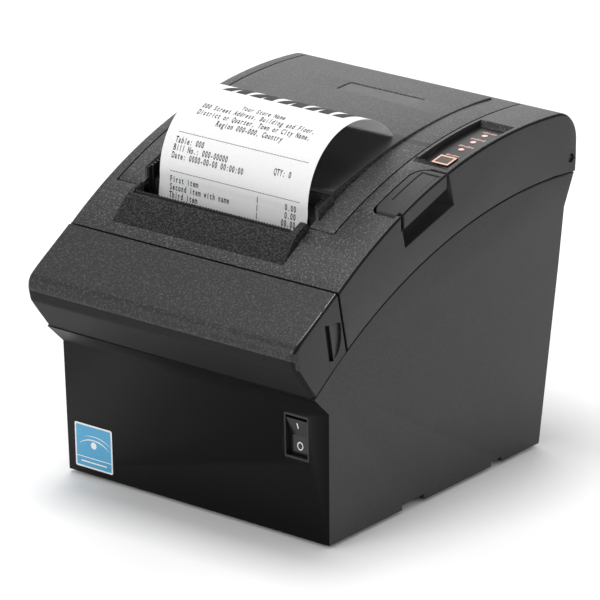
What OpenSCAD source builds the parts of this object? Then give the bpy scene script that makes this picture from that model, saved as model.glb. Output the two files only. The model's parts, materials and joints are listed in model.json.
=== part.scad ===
// Thermal receipt printer for 80 mm paper, with a drop-in roll, an automatic
// cutter behind the sliding nose cover and a rear-hinged paper cover.
// Millimetres, +Z up. The origin is at the middle of the footprint, on the
// surface that the rubber feet stand on. -Y is the front, +X the user's right.

/* [Casing] */
// Width of the casing across its flat sides
case_w = 145; // [144:0.5:146]
// Thickness of the moulded walls
wall = 2.4; // [2.2:0.1:2.6]
// How far each side leans in at the bottom edge
draft = 1.4; // [0.8:0.1:1.8]
// Height that the rubber feet lift the casing
foot_h = 1.5; // [1:0.1:2]
// Width of the shadow gap between upper and lower case
seam = 0.5; // [0.3:0.05:0.6]

/* [Paper cover] */
// Middle of the paper path across the printer
paper_mid = -8; // [-8.5:0.5:-7.5]
// Width of the paper cover
lid_w = 117; // [116:0.5:118]
// Running gap around the paper cover
lid_gap = 0.35; // [0.25:0.05:0.5]
// Width of the raised centre of the cover
crown_w = 91; // [90:0.5:92]
// Radius of the cover's hinge pins
hinge_pin_r = 1.95; // [1.9:0.01:1.97]
// Bore that the hinge pins run in
hinge_bore_r = 2; // [2:0.01:2.03]

/* [Paper] */
// Width of the paper
paper_w = 80; // [79:0.5:80]
// Thickness of the paper sheets
paper_t = 0.12; // [0.1:0.01:0.15]
// Outer radius of the paper roll
roll_r = 38; // [30:1:38]
// Radius that the printed slip curls to
curl_r = 30.4; // [30:0.1:31]

/* [Print mechanism] */
// Radius of the rubber platen
platen_r = 6; // [5.8:0.1:6]
// Half-width of the head's active face
head_half_w = 42; // [41:0.5:42]
// Length of the head's springs
head_spring_l = 7.7; // [7:0.1:7.9]

/* [Controls] */
// Travel of the feed button
button_travel = 0.4; // [0.3:0.05:0.5]
// Depth of the control panel recess
panel_depth = 3; // [2.6:0.1:3.2]
// Radius of the status lamps
led_r = 1.3; // [1:0.1:1.5]

/* [Hidden] */
$fn = 64;

half_w = case_w / 2;
eps = 0.01;

// Fixed stations along the printer, as [y, z]
front_y = -73;
front_top = [front_y, 59.4];
nose_heel = [-82, 68.3];
nose_under = [-92.6, 83.3];
nose_tip = [-94.5, 90.3];
nose_edge = [-92.8, 93.6];
nose_joint = [-60.3, 83.2];
deck_front_y = -65;
rear_bottom_y = 68.5;
rear_bend = [85.6, 103.7];
lid_front_y = -41.2;
crown_front_y = -27;
guide_front_y = -37;
hinge_at = [89.9, 124.3];

// The top skin is one arc, which runs into a small arc at the rear
top_mid = [60, -80.7];
top_r = 227.6;
rear_r = 13.7;
rear_turn = 84.4;
rear_mid = top_mid + (top_r - rear_r) * [cos(rear_turn), sin(rear_turn)];
// The crown of the cover is a flatter arc, which meets the skin at the rear
crown_mid = [62, -140.7];
crown_r = 288.2;
// The seam between the two cases is one arc
split_mid = [66, -122.8];
split_r = 241.7;

function arc_z(mid, r, y) = mid[1] + sqrt(r * r - (y - mid[0]) * (y - mid[0]));
function arc_run(mid, r, y0, y1, n) =
    [for (i = [0:n]) let (y = y0 + (y1 - y0) * i / n) [y, arc_z(mid, r, y)]];
function turn(mid, r, a0, a1, n) =
    [for (i = [0:n]) let (a = a0 + (a1 - a0) * i / n) mid + r * [cos(a), sin(a)]];
function skin(y0, inset, n = 36) = concat(
    arc_run(top_mid, top_r - inset, y0, rear_mid[0] + (rear_r - inset) * cos(rear_turn), n),
    turn(rear_mid, rear_r - inset, rear_turn, -8, 12));

// Gears: the tooth module and the teeth of the feed train
gear_m = 0.8;
platen_teeth = 18;
idler_teeth = 24;
pinion_teeth = 12;

// Platen and the parts that work against it
platen_at = [-31, 101];
lid_arm = platen_at - hinge_at;
leave = [lid_arm[1], -lid_arm[0]] / norm(lid_arm);
platen_pitch = platen_teeth * gear_m / 2;
idler_pitch = idler_teeth * gear_m / 2;
pinion_pitch = pinion_teeth * gear_m / 2;
idler_at = platen_at - (platen_pitch + idler_pitch) * leave;
motor_turn = 55;
motor_at = idler_at - (idler_pitch + pinion_pitch) * [cos(motor_turn), sin(motor_turn)];
motor_r = 12.5;

roll_at = [26, 72.3];
web_gap = 0.3;
web_in = platen_r + web_gap;
roll_line = platen_at - roll_at;
web_turn = atan2(roll_line[1], roll_line[0]) + acos((roll_r + web_gap - web_in) / norm(roll_line));
web_n = [cos(web_turn), sin(web_turn)];
web_t = [web_n[1], -web_n[0]];
nip_at = platen_at + web_in * web_n;
head_face = platen_at + (web_in + paper_t + web_gap) * web_n;
head_pivot_at = [-41.5, 88];

// Cutter
cut_z = 110.6;
blade_t = 0.8;
blade_tip_y = -42;
rack_z = 99;
cut_pinion_teeth = 12;
cut_gear_teeth = 30;
cut_motor_teeth = 10;
cut_shaft_at = [-58, rack_z - cut_pinion_teeth * gear_m / 2];
cut_reach = (cut_gear_teeth + cut_motor_teeth) * gear_m / 2;
cut_motor_turn = 210;
cut_motor_at = cut_shaft_at + cut_reach * [cos(cut_motor_turn), sin(cut_motor_turn)];

// Latch and cover lever
latch_at = [-19, 84];
lever_at = [-23.4, 126.2];
lever_x0 = 57.9;
tail_x = 59;
tail_t = 1.6;
lever_front_y = lever_at[0] - 1.4;
lever_rear_y = 5.4;
lever_corner_r = 7;

// Control panel on the right-hand console
panel_x0 = 52.4;
panel_x1 = 70;
panel_y0 = 8.7;
panel_y1 = 55.7;
panel_mid = 61.4;
button_y = 17.8;
button_w = 8.7;
button_l = 7;
lamp_y = [29.3, 37.3, 45.1];

// Power switch
switch_mid = [54.2, 45.2];
switch_w = 14.2;
switch_h = 20.5;

// Rear connectors
jack_y = 62;
board_z = 11.6;

// Layers of the left-hand drive, from the frame out
frame_x = [-56.5, 39];
frame_t = 1.5;
gear_x0 = -63;
gear_t = 3.8;

// Gears
platen_phase = heading(platen_at, idler_at);
idler_phase = platen_phase + 180 + 180 / idler_teeth;
motor_heading = heading(idler_at, motor_at);
idler_step = 360 / idler_teeth;
idler_lead = (motor_heading - idler_phase) - floor((motor_heading - idler_phase) / idler_step) * idler_step;
motor_phase = motor_heading + 180 + idler_lead * idler_pitch / pinion_pitch + 180 / pinion_teeth;

// Casing
lid_x0 = paper_mid - lid_w / 2;
lid_x1 = paper_mid + lid_w / 2;
crown_x0 = paper_mid - crown_w / 2;
crown_x1 = paper_mid + crown_w / 2;
bay_x0 = lid_x0 - lid_gap;
bay_x1 = lid_x1 + lid_gap;
ledge_drop = 3.2;
ledge_w = 3.2;
lower_outline = concat([[rear_bottom_y, foot_h], [front_y, foot_h], front_top, nose_heel],
                       seam_arc(0, nose_heel[0] + 1, 92.6), [rear_bend]);
lower_hollow = [[rear_bottom_y - wall - 0.3, 0], [front_y + wall, 0], front_top + [wall, 1],
                nose_heel + [1.7, 1.7], nose_heel + [1.7, 62], [83.2, 130],
                rear_bend + [-wall - 0.05, 0.4]];
upper_outline = concat([[nose_joint[0], nose_joint[1] + seam]],
                       skin(deck_front_y, 0),
                       seam_arc(-seam, 92.7, nose_joint[0] + 1));
upper_hollow = concat([[nose_joint[0] - 20, 60],
                       [deck_front_y - 20, arc_z(top_mid, top_r - wall, deck_front_y) - 12]],
                      skin(deck_front_y, wall), [[91.6, 60]]);
slot_y0 = -48.3;
slot_x0 = paper_mid - 43.5;
slot_x1 = paper_mid + 43.5;
finger_pocket = [[-24.8, 128], [-22.3, 116.4], [9.9, 125.9], [6.3, 142]];
lever_swing_y = lever_at[0] - 3;
nose_outline = concat([[deck_front_y - lid_gap, arc_z(top_mid, top_r, deck_front_y)],
                       nose_edge, nose_tip, nose_under],
                      seam_arc(-seam, nose_heel[0], nose_joint[0] - lid_gap));
nose_hollow = [[deck_front_y + 5, 109.6], [-91.2, 91.8], [-92.1, 90], [-90.4, 83.9],
               [-80.2, 71.5], [-40, 80]];
nose_runner = [[-91, 90], [-91, 85], [-86.5, 78], [-52, 78], [-52, 80.5], [-85, 80.5], [-86, 90]];
foot_at = [[-56, -58], [56, -58], [-56, 52], [56, 52]];
bracket_at = [[-50, 0], [50, 0]];
bracket_r = 1.5;
board_posts = [[-54, -50], [54, -50], [-54, 44], [54, 44]];
base_screw_at = [[-40, -62], [40, -62], [-40, 57], [40, 57]];
guard_x0 = paper_mid - 44;
guard_x1 = paper_mid + 45.5;
guard_top = [-50.6, 122.6];
guard_slope = 2;
tooth_pitch = 1.2;
tooth_count = 70;
guard_foot = 119.7;
tooth_foot_z = 123.5;
tooth_tip_z = 124.4;

// Paper cover
lid_rear = turn(hinge_at, 3.6, -60, -95, 4);
badge_y = [51.2, 60.6];
badge_x = [-22.5, 17.5];
liner_x0 = crown_x0 + 0.4;
liner_x1 = crown_x1 - 0.4;
cheek_t = 2;
shaft_x0 = gear_x0 - 0.5;
shaft_x1 = frame_x[1] + 4.6;
slip_foot = [-37.35, cut_z + 1.9];
curl_mid = [-5, 126.5];
curl_sweep = 144.5;

// Lever and latch
lever_hub_r = 2.6;
lever_lip = [[lever_at[0] + 0.4, 124.4], [lever_rear_y, 134]];
groove_in = 3.6;
groove_w = 0.5;
groove_y = [-17, 3];
lever_nose = turn(lever_at, lever_hub_r, 250, 160, 6);

// Print mechanism
mech_screw_at = [[-44, -44], [30, -44], [-44, -24.5], [30, -24.5]];
spring_x = [-25, 9];
spring_z = 93.2;

// cutter
rack_pitch = PI * gear_m;
rack_x = [-40, 24];

// paper path and roll
bucket_r = 42;
bucket_mid = [26, 76];
bucket_x = [paper_mid - 41.5, paper_mid + 41.5];
near_end_at = [-4, 40];

// Boards and connectors
port_z = board_z;
dc_x = 47;
drawer_x = 28;
usb_x = 10;
lan_x = -10;
serial_x = -38;
stud_gap = 25;

// Control panel and switch
floor_r = top_r - panel_depth;
panel_fall = (floor_z(panel_y1 - 3) - floor_z(panel_y0)) / (panel_y1 - 3 - panel_y0);
rocker_at = [front_y + 5.4, switch_mid[1]];
rocker_tilt = 8;
axle_r = 1;

// Colours
case_grey = [0.27, 0.27, 0.275];
case_black = [0.09, 0.09, 0.095];
trim_black = [0.05, 0.05, 0.055];
steel = [0.70, 0.71, 0.73];
zinc = [0.60, 0.61, 0.63];
gear_white = [0.86, 0.85, 0.80];
rubber_grey = [0.16, 0.16, 0.165];
paper_white = [0.95, 0.95, 0.94];
board_green = [0.07, 0.28, 0.15];

// ---------- helpers ----------

// Draws its children, given in Y and Z, as a solid from x0 to x1
module across(x0, x1) {
    translate([x0, 0, 0])
        rotate([90, 0, 90])
            linear_extrude(x1 - x0)
                children();
}

// A rod or bore along X at [y, z]
module rod(at, r, x0, x1) {
    across(x0, x1)
        translate(at)
            circle(r);
}

// A box from its two corners
module block(a, b) {
    translate(a)
        cube(b - a);
}

// Involute gear outline, with its first tooth at the angle phase
function inv_turn(t) = t - atan(t * PI / 180);
function roll_turn(r, rb) = sqrt(max(0, (r / rb) * (r / rb) - 1)) * 180 / PI;
function flank(a, rb, half, ts, side) =
    [for (t = ts)
        let (r = rb * sqrt(1 + pow(t * PI / 180, 2)), b = a + side * (half - inv_turn(t)))
        r * [cos(b), sin(b)]];
function gear_outline(n, m, phase) =
    let (rp = n * m / 2, rb = rp * cos(20), ra = rp + 0.85 * m, rf = rp - 1.1 * m,
         half = 90 / n * 0.9 + inv_turn(roll_turn(rp, rb)),
         t1 = roll_turn(ra, rb))
    [for (i = [0:n - 1])
        let (a = phase + 360 / n * i)
        each concat([rf * [cos(a - half), sin(a - half)]],
                    flank(a, rb, half, [0, t1 / 2, t1], -1),
                    flank(a, rb, half, [t1, t1 / 2, 0], 1),
                    [rf * [cos(a + half), sin(a + half)]])];

module gear(at, n, phase, x0, x1, bore_r) {
    difference() {
        across(x0, x1)
            translate(at)
                polygon(gear_outline(n, gear_m, phase));
        rod(at, bore_r, x0 - 1, x1 + 1);
    }
}

// Angle from one shaft to another, and the phases that put gears in mesh
function heading(a, b) = atan2(b[1] - a[1], b[0] - a[0]);

// A pan-head screw, head up at z = 0
module screw_up(at, head_r, shank_r, len) {
    translate(at)
        union() {
            difference() {
                cylinder(h = 1.6, r = head_r);
                translate([0, 0, 0.8])
                    for (a = [0, 90])
                        rotate([0, 0, a])
                            translate([-head_r * 0.6, -0.3, 0])
                                cube([head_r * 1.2, 0.6, 2]);
            }
            translate([0, 0, -len])
                cylinder(h = len + eps, r = shank_r);
        }
}

// ---------- casing ----------

// The casing's draft: every wall leans in below z = 80
module leaning_walls(inset = 0) {
    w = half_w - inset;
    rotate([90, 0, 0])
        translate([0, 0, -120])
            linear_extrude(240)
                polygon([[-w + draft, -1], [w - draft, -1], [w, 80], [w, 170], [-w, 170], [-w, 80]]);
}

// Side outline of the lower case, open at the seam arc
function seam_arc(drop, y0, y1) = arc_run(split_mid, split_r - drop, y0, y1, 30);

module foot_notches() {
    for (n = [[-25, -10.5, 4], [35, 42.2, 3.6]])
        block([-case_w, n[0], 0], [case_w, n[1], n[2]]);
}

module rear_port_window() {
    block([-61, 55, 6.5], [61, 90, 37.5]);
}

module switch_window() {
    block([switch_mid[0] - switch_w / 2, front_y - 1, switch_mid[1] - switch_h / 2],
          [switch_mid[0] + switch_w / 2, front_y + wall + 1, switch_mid[1] + switch_h / 2]);
}

// Tongue inside the seam, which keeps light and dust out
module seam_tongue(x) {
    across(x, x + 1.2)
        polygon(concat(seam_arc(-1.6, -58, 81), seam_arc(4, 81, -58)));
}

// Walls between the connector panel and the rear wall
module port_recess() {
    intersection() {
        block([-62.6, jack_y - 1.1, 5], [62.6, 90, 39]);
        across(-half_w, half_w)
            polygon(lower_outline);
    }
}

module lower_case() {
    color(case_grey)
        difference() {
            intersection() {
                union() {
                    difference() {
                        across(-half_w, half_w)
                            polygon(lower_outline);
                        intersection() {
                            across(-half_w, half_w)
                                polygon(lower_hollow);
                            leaning_walls(wall);
                        }
                    }
                    seam_tongue(half_w - wall - 1.2);
                    seam_tongue(-half_w + wall);
                    port_recess();
                }
                leaning_walls();
            }
            foot_notches();
            rear_port_window();
            switch_window();
        }
}

// The upper case: skin outline down to the seam, then forward to the nose joint

// The bay that the cover closes, and the ledge that its rim lies over
module cover_bay() {
    block([bay_x0, lid_front_y - lid_gap, 60], [bay_x1, 130, 170]);
}

module cover_ledge() {
    difference() {
        across(bay_x0 - wall, bay_x1 + wall)
            polygon(concat(skin(lid_front_y - 6, ledge_drop), [[92, 118], [84, 118]],
                           arc_run(top_mid, top_r - ledge_drop - 12, 80, lid_front_y - 6, 30)));
        block([bay_x0 + ledge_w, slot_y0, 60], [bay_x1 - ledge_w, 130, 170]);
        block([bay_x0 - 1, 74, 60], [bay_x1 + 1, 130, 170]);
    }
}

// Slot in the deck where the paper comes out

module exit_slot() {
    block([slot_x0, slot_y0, 95], [slot_x1, lid_front_y + 1, 140]);
}

// Inner walls that carry the hinge pins, beside the cover
module hinge_walls() {
    intersection() {
        union() {
            block([-half_w, 60, 60], [bay_x0, 120, 150]);
            block([bay_x1, -44, 60], [bay_x1 + wall, 120, 150]);
        }
        across(-half_w, half_w)
            polygon(concat(skin(-44, 0.6), seam_arc(-2.4, 91.5, -44)));
    }
}

// Recess for the control panel: its floor follows the skin
module panel_pocket(grow, depth) {
    across(panel_x0 - grow, panel_x1 + min(grow, 1.2))
        polygon(concat(arc_run(top_mid, top_r - depth, panel_y0 - grow, panel_y1 + grow - 2.4, 12),
                       [[panel_y1 + grow, 150], [panel_y0 - grow, 150]]));
}

// Plan of the cover lever and its opening: both inner corners are rounded
module lever_plan(x0, y0, y1, front_r) {
    r = lever_corner_r;
    linear_extrude(170)
        polygon(concat(turn([x0 + front_r, y0 + front_r], front_r, 270, 180, 12),
                       turn([x0 + r, y1 - r], r, 180, 90, 12),
                       [[half_w + 5, y1], [half_w + 5, y0]]));
}

// Opening for the cover lever, and the finger recess under its lip
module lever_opening(gap) {
    intersection() {
        across(lever_x0 - gap, half_w - wall)
            polygon([[lever_swing_y, 122], [lever_rear_y + gap, 132],
                     [lever_rear_y + gap, 150], [lever_swing_y, 150]]);
        lever_plan(lever_x0 - gap, lever_swing_y, lever_rear_y + gap, 3.6);
    }
    across(half_w - wall - eps, half_w + 5)
        polygon([[lever_front_y, 124], [lever_rear_y + gap, 132],
                 [lever_rear_y + gap, 150], [lever_front_y, 150]]);
}
module finger_recess() {
    across(63.5, half_w + 5)
        polygon(finger_pocket);
}
module finger_box() {
    intersection() {
        across(62, half_w - 0.5)
            polygon([[-26.4, 129], [-24, 114.4], [11.6, 124.6], [8.6, 143]]);
        across(0, half_w)
            polygon(concat(skin(-40, 1), [[20, 100], [-40, 100]]));
    }
}

module upper_case() {
    color(case_grey)
        difference() {
            union() {
                difference() {
                    across(-half_w, half_w)
                        polygon(upper_outline);
                    across(-half_w + wall, half_w - wall)
                        polygon(upper_hollow);
                    cover_bay();
                }
                difference() {
                    cover_ledge();
                    block([bay_x0 + 6, -30, 60], [bay_x1 - 6, 90, 170]);
                }
                hinge_walls();
                intersection() {
                    panel_pocket(1.6, panel_depth + 1.6);
                    across(0, half_w)
                        polygon(concat(skin(-10, 1), [[90, 120], [-10, 120]]));
                }
                finger_box();
            }
            exit_slot();
            panel_pocket(0, panel_depth);
            button_hole();
            lever_opening(0.5);
            finger_recess();
            rod(hinge_at, hinge_bore_r, -half_w + 1, bay_x0 + 1);
            rod(hinge_at, hinge_bore_r, bay_x1 - 1, half_w + 1);
            rod(lever_at, 1.55, bay_x1 - 1, 70.2);
        }
}

module button_hole() {
    block([panel_mid - button_w / 2 - 0.25, button_y - button_l / 2 - 0.25, 120],
          [panel_mid + button_w / 2 + 0.25, button_y + button_l / 2 + 0.25, 150]);
}

// Nose cover over the cutter: slides forward on two runners

module nose_grip(side) {
    x0 = side > 0 ? half_w - 1.2 : -half_w - 1;
    across(x0, x0 + 2.2)
        polygon([[-75.2, 98.2], [-73.4, 98.6], [-68.4, 81.6], [-70.2, 81.2]]);
}

module cutter_cover() {
    color(case_grey)
        difference() {
            union() {
                difference() {
                    across(-half_w, half_w)
                        polygon(nose_outline);
                    across(-half_w + wall, half_w - wall)
                        polygon(nose_hollow);
                }
                for (x = [-62, 50])
                    across(x, x + 4)
                        polygon(nose_runner);
            }
            nose_grip(1);
            nose_grip(-1);
        }
}

module base_plate() {
    color(case_black)
        difference() {
            union() {
                block([-67.6, -70, foot_h], [67.6, 64.6, foot_h + 2]);
                for (p = bracket_at)
                    translate([p[0], p[1], foot_h])
                        cylinder(h = 7, r = 4);
                for (p = board_posts)
                    translate([p[0], p[1], foot_h])
                        cylinder(h = board_z - foot_h - 1.6, r = 3);
            }
            for (p = bracket_at)
                translate([p[0], p[1], 0])
                    cylinder(h = 7.6, r = bracket_r);
            for (p = foot_at)
                translate([p[0], p[1], 0])
                    cylinder(h = foot_h + 0.8, r = 6.5);
            for (p = base_screw_at)
                translate([p[0], p[1], 0])
                    cylinder(h = 10, r = 1.6);
            for (p = base_screw_at)
                translate([p[0], p[1], 0])
                    cylinder(h = foot_h + 1, r = 3.2);
        }
}

module rubber_feet() {
    color(rubber_grey)
        for (p = foot_at)
            translate([p[0], p[1], 0])
                cylinder(h = foot_h + 0.8, r = 6.3);
}

module base_screws() {
    color(steel)
        for (p = base_screw_at)
            mirror([0, 0, 1])
                screw_up([p[0], p[1], -(foot_h + 1)], 2.9, 1.5, 6);
}

// Coarse wedge in front of the slot, its thin lip turned back at both ends

module exit_guard() {
    color(trim_black)
        difference() {
            intersection() {
                across(guard_x0 - guard_slope, guard_x1 + guard_slope)
                    polygon(concat([guard_top, [-48.9, 123.5], [-43.4, 125.9], [-41.8, 124]],
                                   arc_run(top_mid, top_r + 0.02, -41.8, -60.2, 16)));
                rotate([90, 0, 0])
                    translate([0, 0, 30])
                        linear_extrude(40)
                            polygon([[guard_x0 - guard_slope, 108], [guard_x1 + guard_slope, 108],
                                     [guard_x1 + 0.4, 126.5], [guard_x0 - 0.4, 126.5]]);
            }
            block([slot_x0 + 0.8, -48.9, 100], [slot_x1 - 0.8, -30, 140]);
        }
}

module tear_bar() {
    x0 = paper_mid - tooth_count * tooth_pitch / 2;
    x1 = paper_mid + tooth_count * tooth_pitch / 2;
    teeth = [for (i = [0:tooth_count - 1])
        each [[x0 + i * tooth_pitch, tooth_foot_z], [x0 + (i + 0.5) * tooth_pitch, tooth_tip_z]]];
    color(trim_black)
        translate([0, -48.2, 0])
            rotate([90, 0, 0])
                linear_extrude(0.7)
                    polygon(concat(teeth, [[x1, tooth_foot_z], [x1, guard_foot], [x0, guard_foot]]));
}

module front_sticker() {
    color([0.16, 0.47, 0.70])
        block([-66.8, front_y - 0.15, 4.4], [-46, front_y, 24.2]);
}

// ---------- paper cover ----------

module cover_shell() {
    across(lid_x0, lid_x1)
        polygon(concat(skin(lid_front_y, 0), [hinge_at + [3.6, 0]], lid_rear,
                       [hinge_at + [-3.6, 0], [89, 130]],
                       [for (i = [48:-1:0]) skin(lid_front_y, wall)[i]]));
    rod(hinge_at, 3.6, lid_x0, lid_x1);
}

module crown() {
    across(crown_x0, crown_x1)
        polygon(concat(arc_run(crown_mid, crown_r, crown_front_y, 80, 30),
                       arc_run(top_mid, top_r - 1, 82, crown_front_y, 20)));
}

module paper_cover() {
    color(case_grey)
        difference() {
            union() {
                difference() {
                    union() {
                        cover_shell();
                        crown();
                    }
                    block([crown_x0, lid_front_y - 1, 60], [crown_x1, crown_front_y, 150]);
                }
                for (x = [crown_x0 - 1.4, crown_x1])
                    across(x, x + 1.4)
                        polygon(concat(arc_run(crown_mid, crown_r, guide_front_y, crown_front_y + 0.5, 6),
                                       [[crown_front_y + 0.5, 124], [guide_front_y, 120.4]]));
            }
            rod(hinge_at, hinge_bore_r, lid_x0 - 1, lid_x0 + 20);
            rod(hinge_at, hinge_bore_r, lid_x1 - 20, lid_x1 + 1);
            badge_seat();
        }
}

// Blank badge on the crown
module badge_seat() {
    across(badge_x[0], badge_x[1])
        polygon(concat(arc_run(crown_mid, crown_r - 0.8, badge_y[0], badge_y[1], 4),
                       [[badge_y[1], 150], [badge_y[0], 150]]));
}

module cover_badge() {
    color(case_grey)
        across(badge_x[0] + 0.3, badge_x[1] - 0.3)
            polygon(concat(arc_run(crown_mid, crown_r - 0.35, badge_y[0] + 0.3, badge_y[1] - 0.3, 4),
                           arc_run(crown_mid, crown_r - 0.8, badge_y[1] - 0.3, badge_y[0] + 0.3, 4)));
}

// Black carrier under the cover: holds the platen, the fixed blade and the guide ribs
function liner_top(y) = arc_z(top_mid, top_r - wall - 0.05, y);
module liner_section() {
    polygon([[-36.4, cut_z + 1.6], [-34.3, 124.2],
             [crown_front_y - 0.3, liner_top(crown_front_y) - 0.3],
             [-10, liner_top(-10)], [-10, liner_top(-10) - 2.5],
             [-24, 119], [-24, 109.2], [-26, cut_z - 2.6],
             [-36.2, cut_z - 2.6], [-36.2, cut_z - 1.1], [-32, cut_z - 1.1], [-32, cut_z + 1.6]]);
}
module cover_liner() {
    color(trim_black)
        difference() {
            union() {
                across(liner_x0, liner_x1)
                    liner_section();
                for (x = [liner_x0, liner_x1 - cheek_t])
                    across(x, x + cheek_t)
                        polygon([[-36.2, 96], [-27, 95], [-22, 104], [-22, 122],
                                 [-34.6, 122], [-36.2, 112]]);
                for (i = [0:13])
                    across(paper_mid - 40.2 + i * 6.1, paper_mid - 39.4 + i * 6.1)
                        polygon([[-36.7, 113], [-35.1, 123], [-33, 123], [-33, 113]]);
                for (s = [-1, 1], i = [0:4])
                    block([paper_mid + s * (crown_w / 2 - 1.1) - 0.7, -35.2 + i * 1.7, 118],
                          [paper_mid + s * (crown_w / 2 - 1.1) + 0.7, -34.4 + i * 1.7, 130.6 + i * 0.5]);
                for (x = [crown_x0 + 0.05, crown_x1 - 0.65])
                    across(x, x + 0.6)
                        polygon([[-36.6, 118], [-36.6, 129.8], [-27.4, 132.6], [-27.4, 118]]);
            }
            rod(platen_at, 2.55, liner_x0 - 1, liner_x1 + 1);
        }
}

module hinge_pins() {
    color(steel) {
        rod(hinge_at, hinge_pin_r, -half_w + 1.2, lid_x0 + 18);
        rod(hinge_at, hinge_pin_r, lid_x1 - 18, half_w - 1);
    }
}

module platen_roller() {
    color(rubber_grey)
        difference() {
            rod(platen_at, platen_r, paper_mid - 42, paper_mid + 42);
            rod(platen_at, 2.5, -100, 100);
        }
}

module platen_shaft() {
    color(steel)
        rod(platen_at, 2.5, shaft_x0, shaft_x1);
}

module platen_bushes() {
    color(gear_white)
        for (x = [frame_x[0] - 0.3, frame_x[1] - 0.3])
            difference() {
                rod(platen_at, 3.5, x, x + 2.1);
                rod(platen_at, 2.55, x - 1, x + 4);
            }
}

module platen_gear() {
    color(gear_white)
        gear(platen_at, platen_teeth, platen_phase, gear_x0, gear_x0 + gear_t, 2.5);
}

module fixed_blade() {
    color(steel)
        across(liner_x0 + cheek_t + 0.2, liner_x1 - cheek_t - 0.2)
            polygon([[-36.3, cut_z - 0.15], [-35.8, cut_z - 1.1], [-32, cut_z - 1.1], [-32, cut_z - 0.15]]);
}

// The slip stands in the slot and curls back over the cover
function slip_line(side) = concat(
    [slip_foot + [0.05 + side, 0]],
    [for (i = [0:36])
        let (a = 180 - i * curl_sweep / 36, r = curl_r + 1.4 * i / 36 - side)
        curl_mid + r * [cos(a), sin(a)]]);
module receipt_slip() {
    inner = slip_line(paper_t);
    color(paper_white)
        across(paper_mid - paper_w / 2, paper_mid + paper_w / 2)
            polygon(concat(slip_line(0), [for (i = [len(inner) - 1:-1:0]) inner[i]]));
}

// ---------- lever and latch ----------

// Groove along the lever's plate and across its rear, as a line in the plate
module lever_groove() {
    x = lever_x0 + groove_in;
    intersection() {
        across(x, half_w - 1.5)
            polygon(concat(arc_run(top_mid, top_r - 0.4, groove_y[0], groove_y[1], 8),
                           [[groove_y[1], 150], [groove_y[0], 150]]));
        union() {
            block([x, groove_y[0], 100], [x + groove_w, groove_y[1], 150]);
            block([x, groove_y[1] - groove_w, 100], [half_w, groove_y[1], 150]);
        }
    }
}

module cover_open_lever() {
    color(case_grey)
        difference() {
            union() {
                intersection() {
                    across(lever_x0, half_w - wall - 0.3)
                        polygon(concat(lever_nose, arc_run(top_mid, top_r, lever_front_y, lever_rear_y, 10),
                                       arc_run(top_mid, top_r - 2.2, lever_rear_y, lever_at[0] + 1, 10)));
                    lever_plan(lever_x0, lever_at[0] - lever_hub_r, lever_rear_y, 5);
                }
                across(half_w - wall - 0.3 - eps, half_w)
                    polygon(concat(arc_run(top_mid, top_r, lever_lip[0][0], lever_rear_y, 10),
                                   [lever_lip[1], lever_lip[0]]));
                across(tail_x, tail_x + tail_t)
                    polygon([lever_at + [-2.4, 1], lever_at + [2.4, 1], [-23.9, 104], [-26.6, 104]]);
            }
            rod(lever_at, 1.55, 50, 69.8);
            lever_groove();
        }
}

module lever_pin() {
    color(steel)
        rod(lever_at, 1.5, bay_x1 + 0.2, 69.4);
}

// Torsion spring round the lever pin, drawn as its coil
module lever_spring() {
    color(steel)
        for (x = [54.8, 55.6, 56.4])
            translate([x, lever_at[0], lever_at[1]])
                rotate([0, 90, 0])
                    rotate_extrude()
                        translate([1.77, 0])
                            circle(r = 0.2, $fn = 16);
}

module latch_shaft() {
    color(steel)
        rod(latch_at, 2, -58.9, tail_x + tail_t + 0.4);
}

// Hooks beside the frame plates and the crank under the lever's tail
module latch_hooks() {
    hook = [[-21.8, 82], [-16.2, 82], [-18.6, 96], [-20, 106.5],
            [-26.6, 108], [-26.6, 105], [-23.6, 103.6], [-23.4, 96]];
    color(zinc)
        difference() {
            union() {
                for (x = [frame_x[0] - 2.1, frame_x[1] + frame_t + 0.6])
                    across(x, x + 1.4)
                        polygon(hook);
                across(tail_x, tail_x + tail_t)
                    polygon([[-21.6, 81.6], [-16.4, 81.6], [-20.4, 108], [-22.9, 108]]);
                for (x = [frame_x[0] - 2.1, frame_x[1] + frame_t + 0.6, tail_x])
                    rod(latch_at, 3.4, x, x + 1.4);
            }
            rod(latch_at, 2, -100, 100);
        }
}

// ---------- print mechanism ----------

// Path that a platen bush takes out of the frame as the cover opens
module bush_notch() {
    r = 3.9;
    translate([0, platen_at[0], platen_at[1]])
        rotate([atan2(-leave[0], leave[1]), 0, 0]) {
            block([-100, -r, 0], [100, r, 40]);
            rod([0, 0], r, -100, 100);
        }
}

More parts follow.
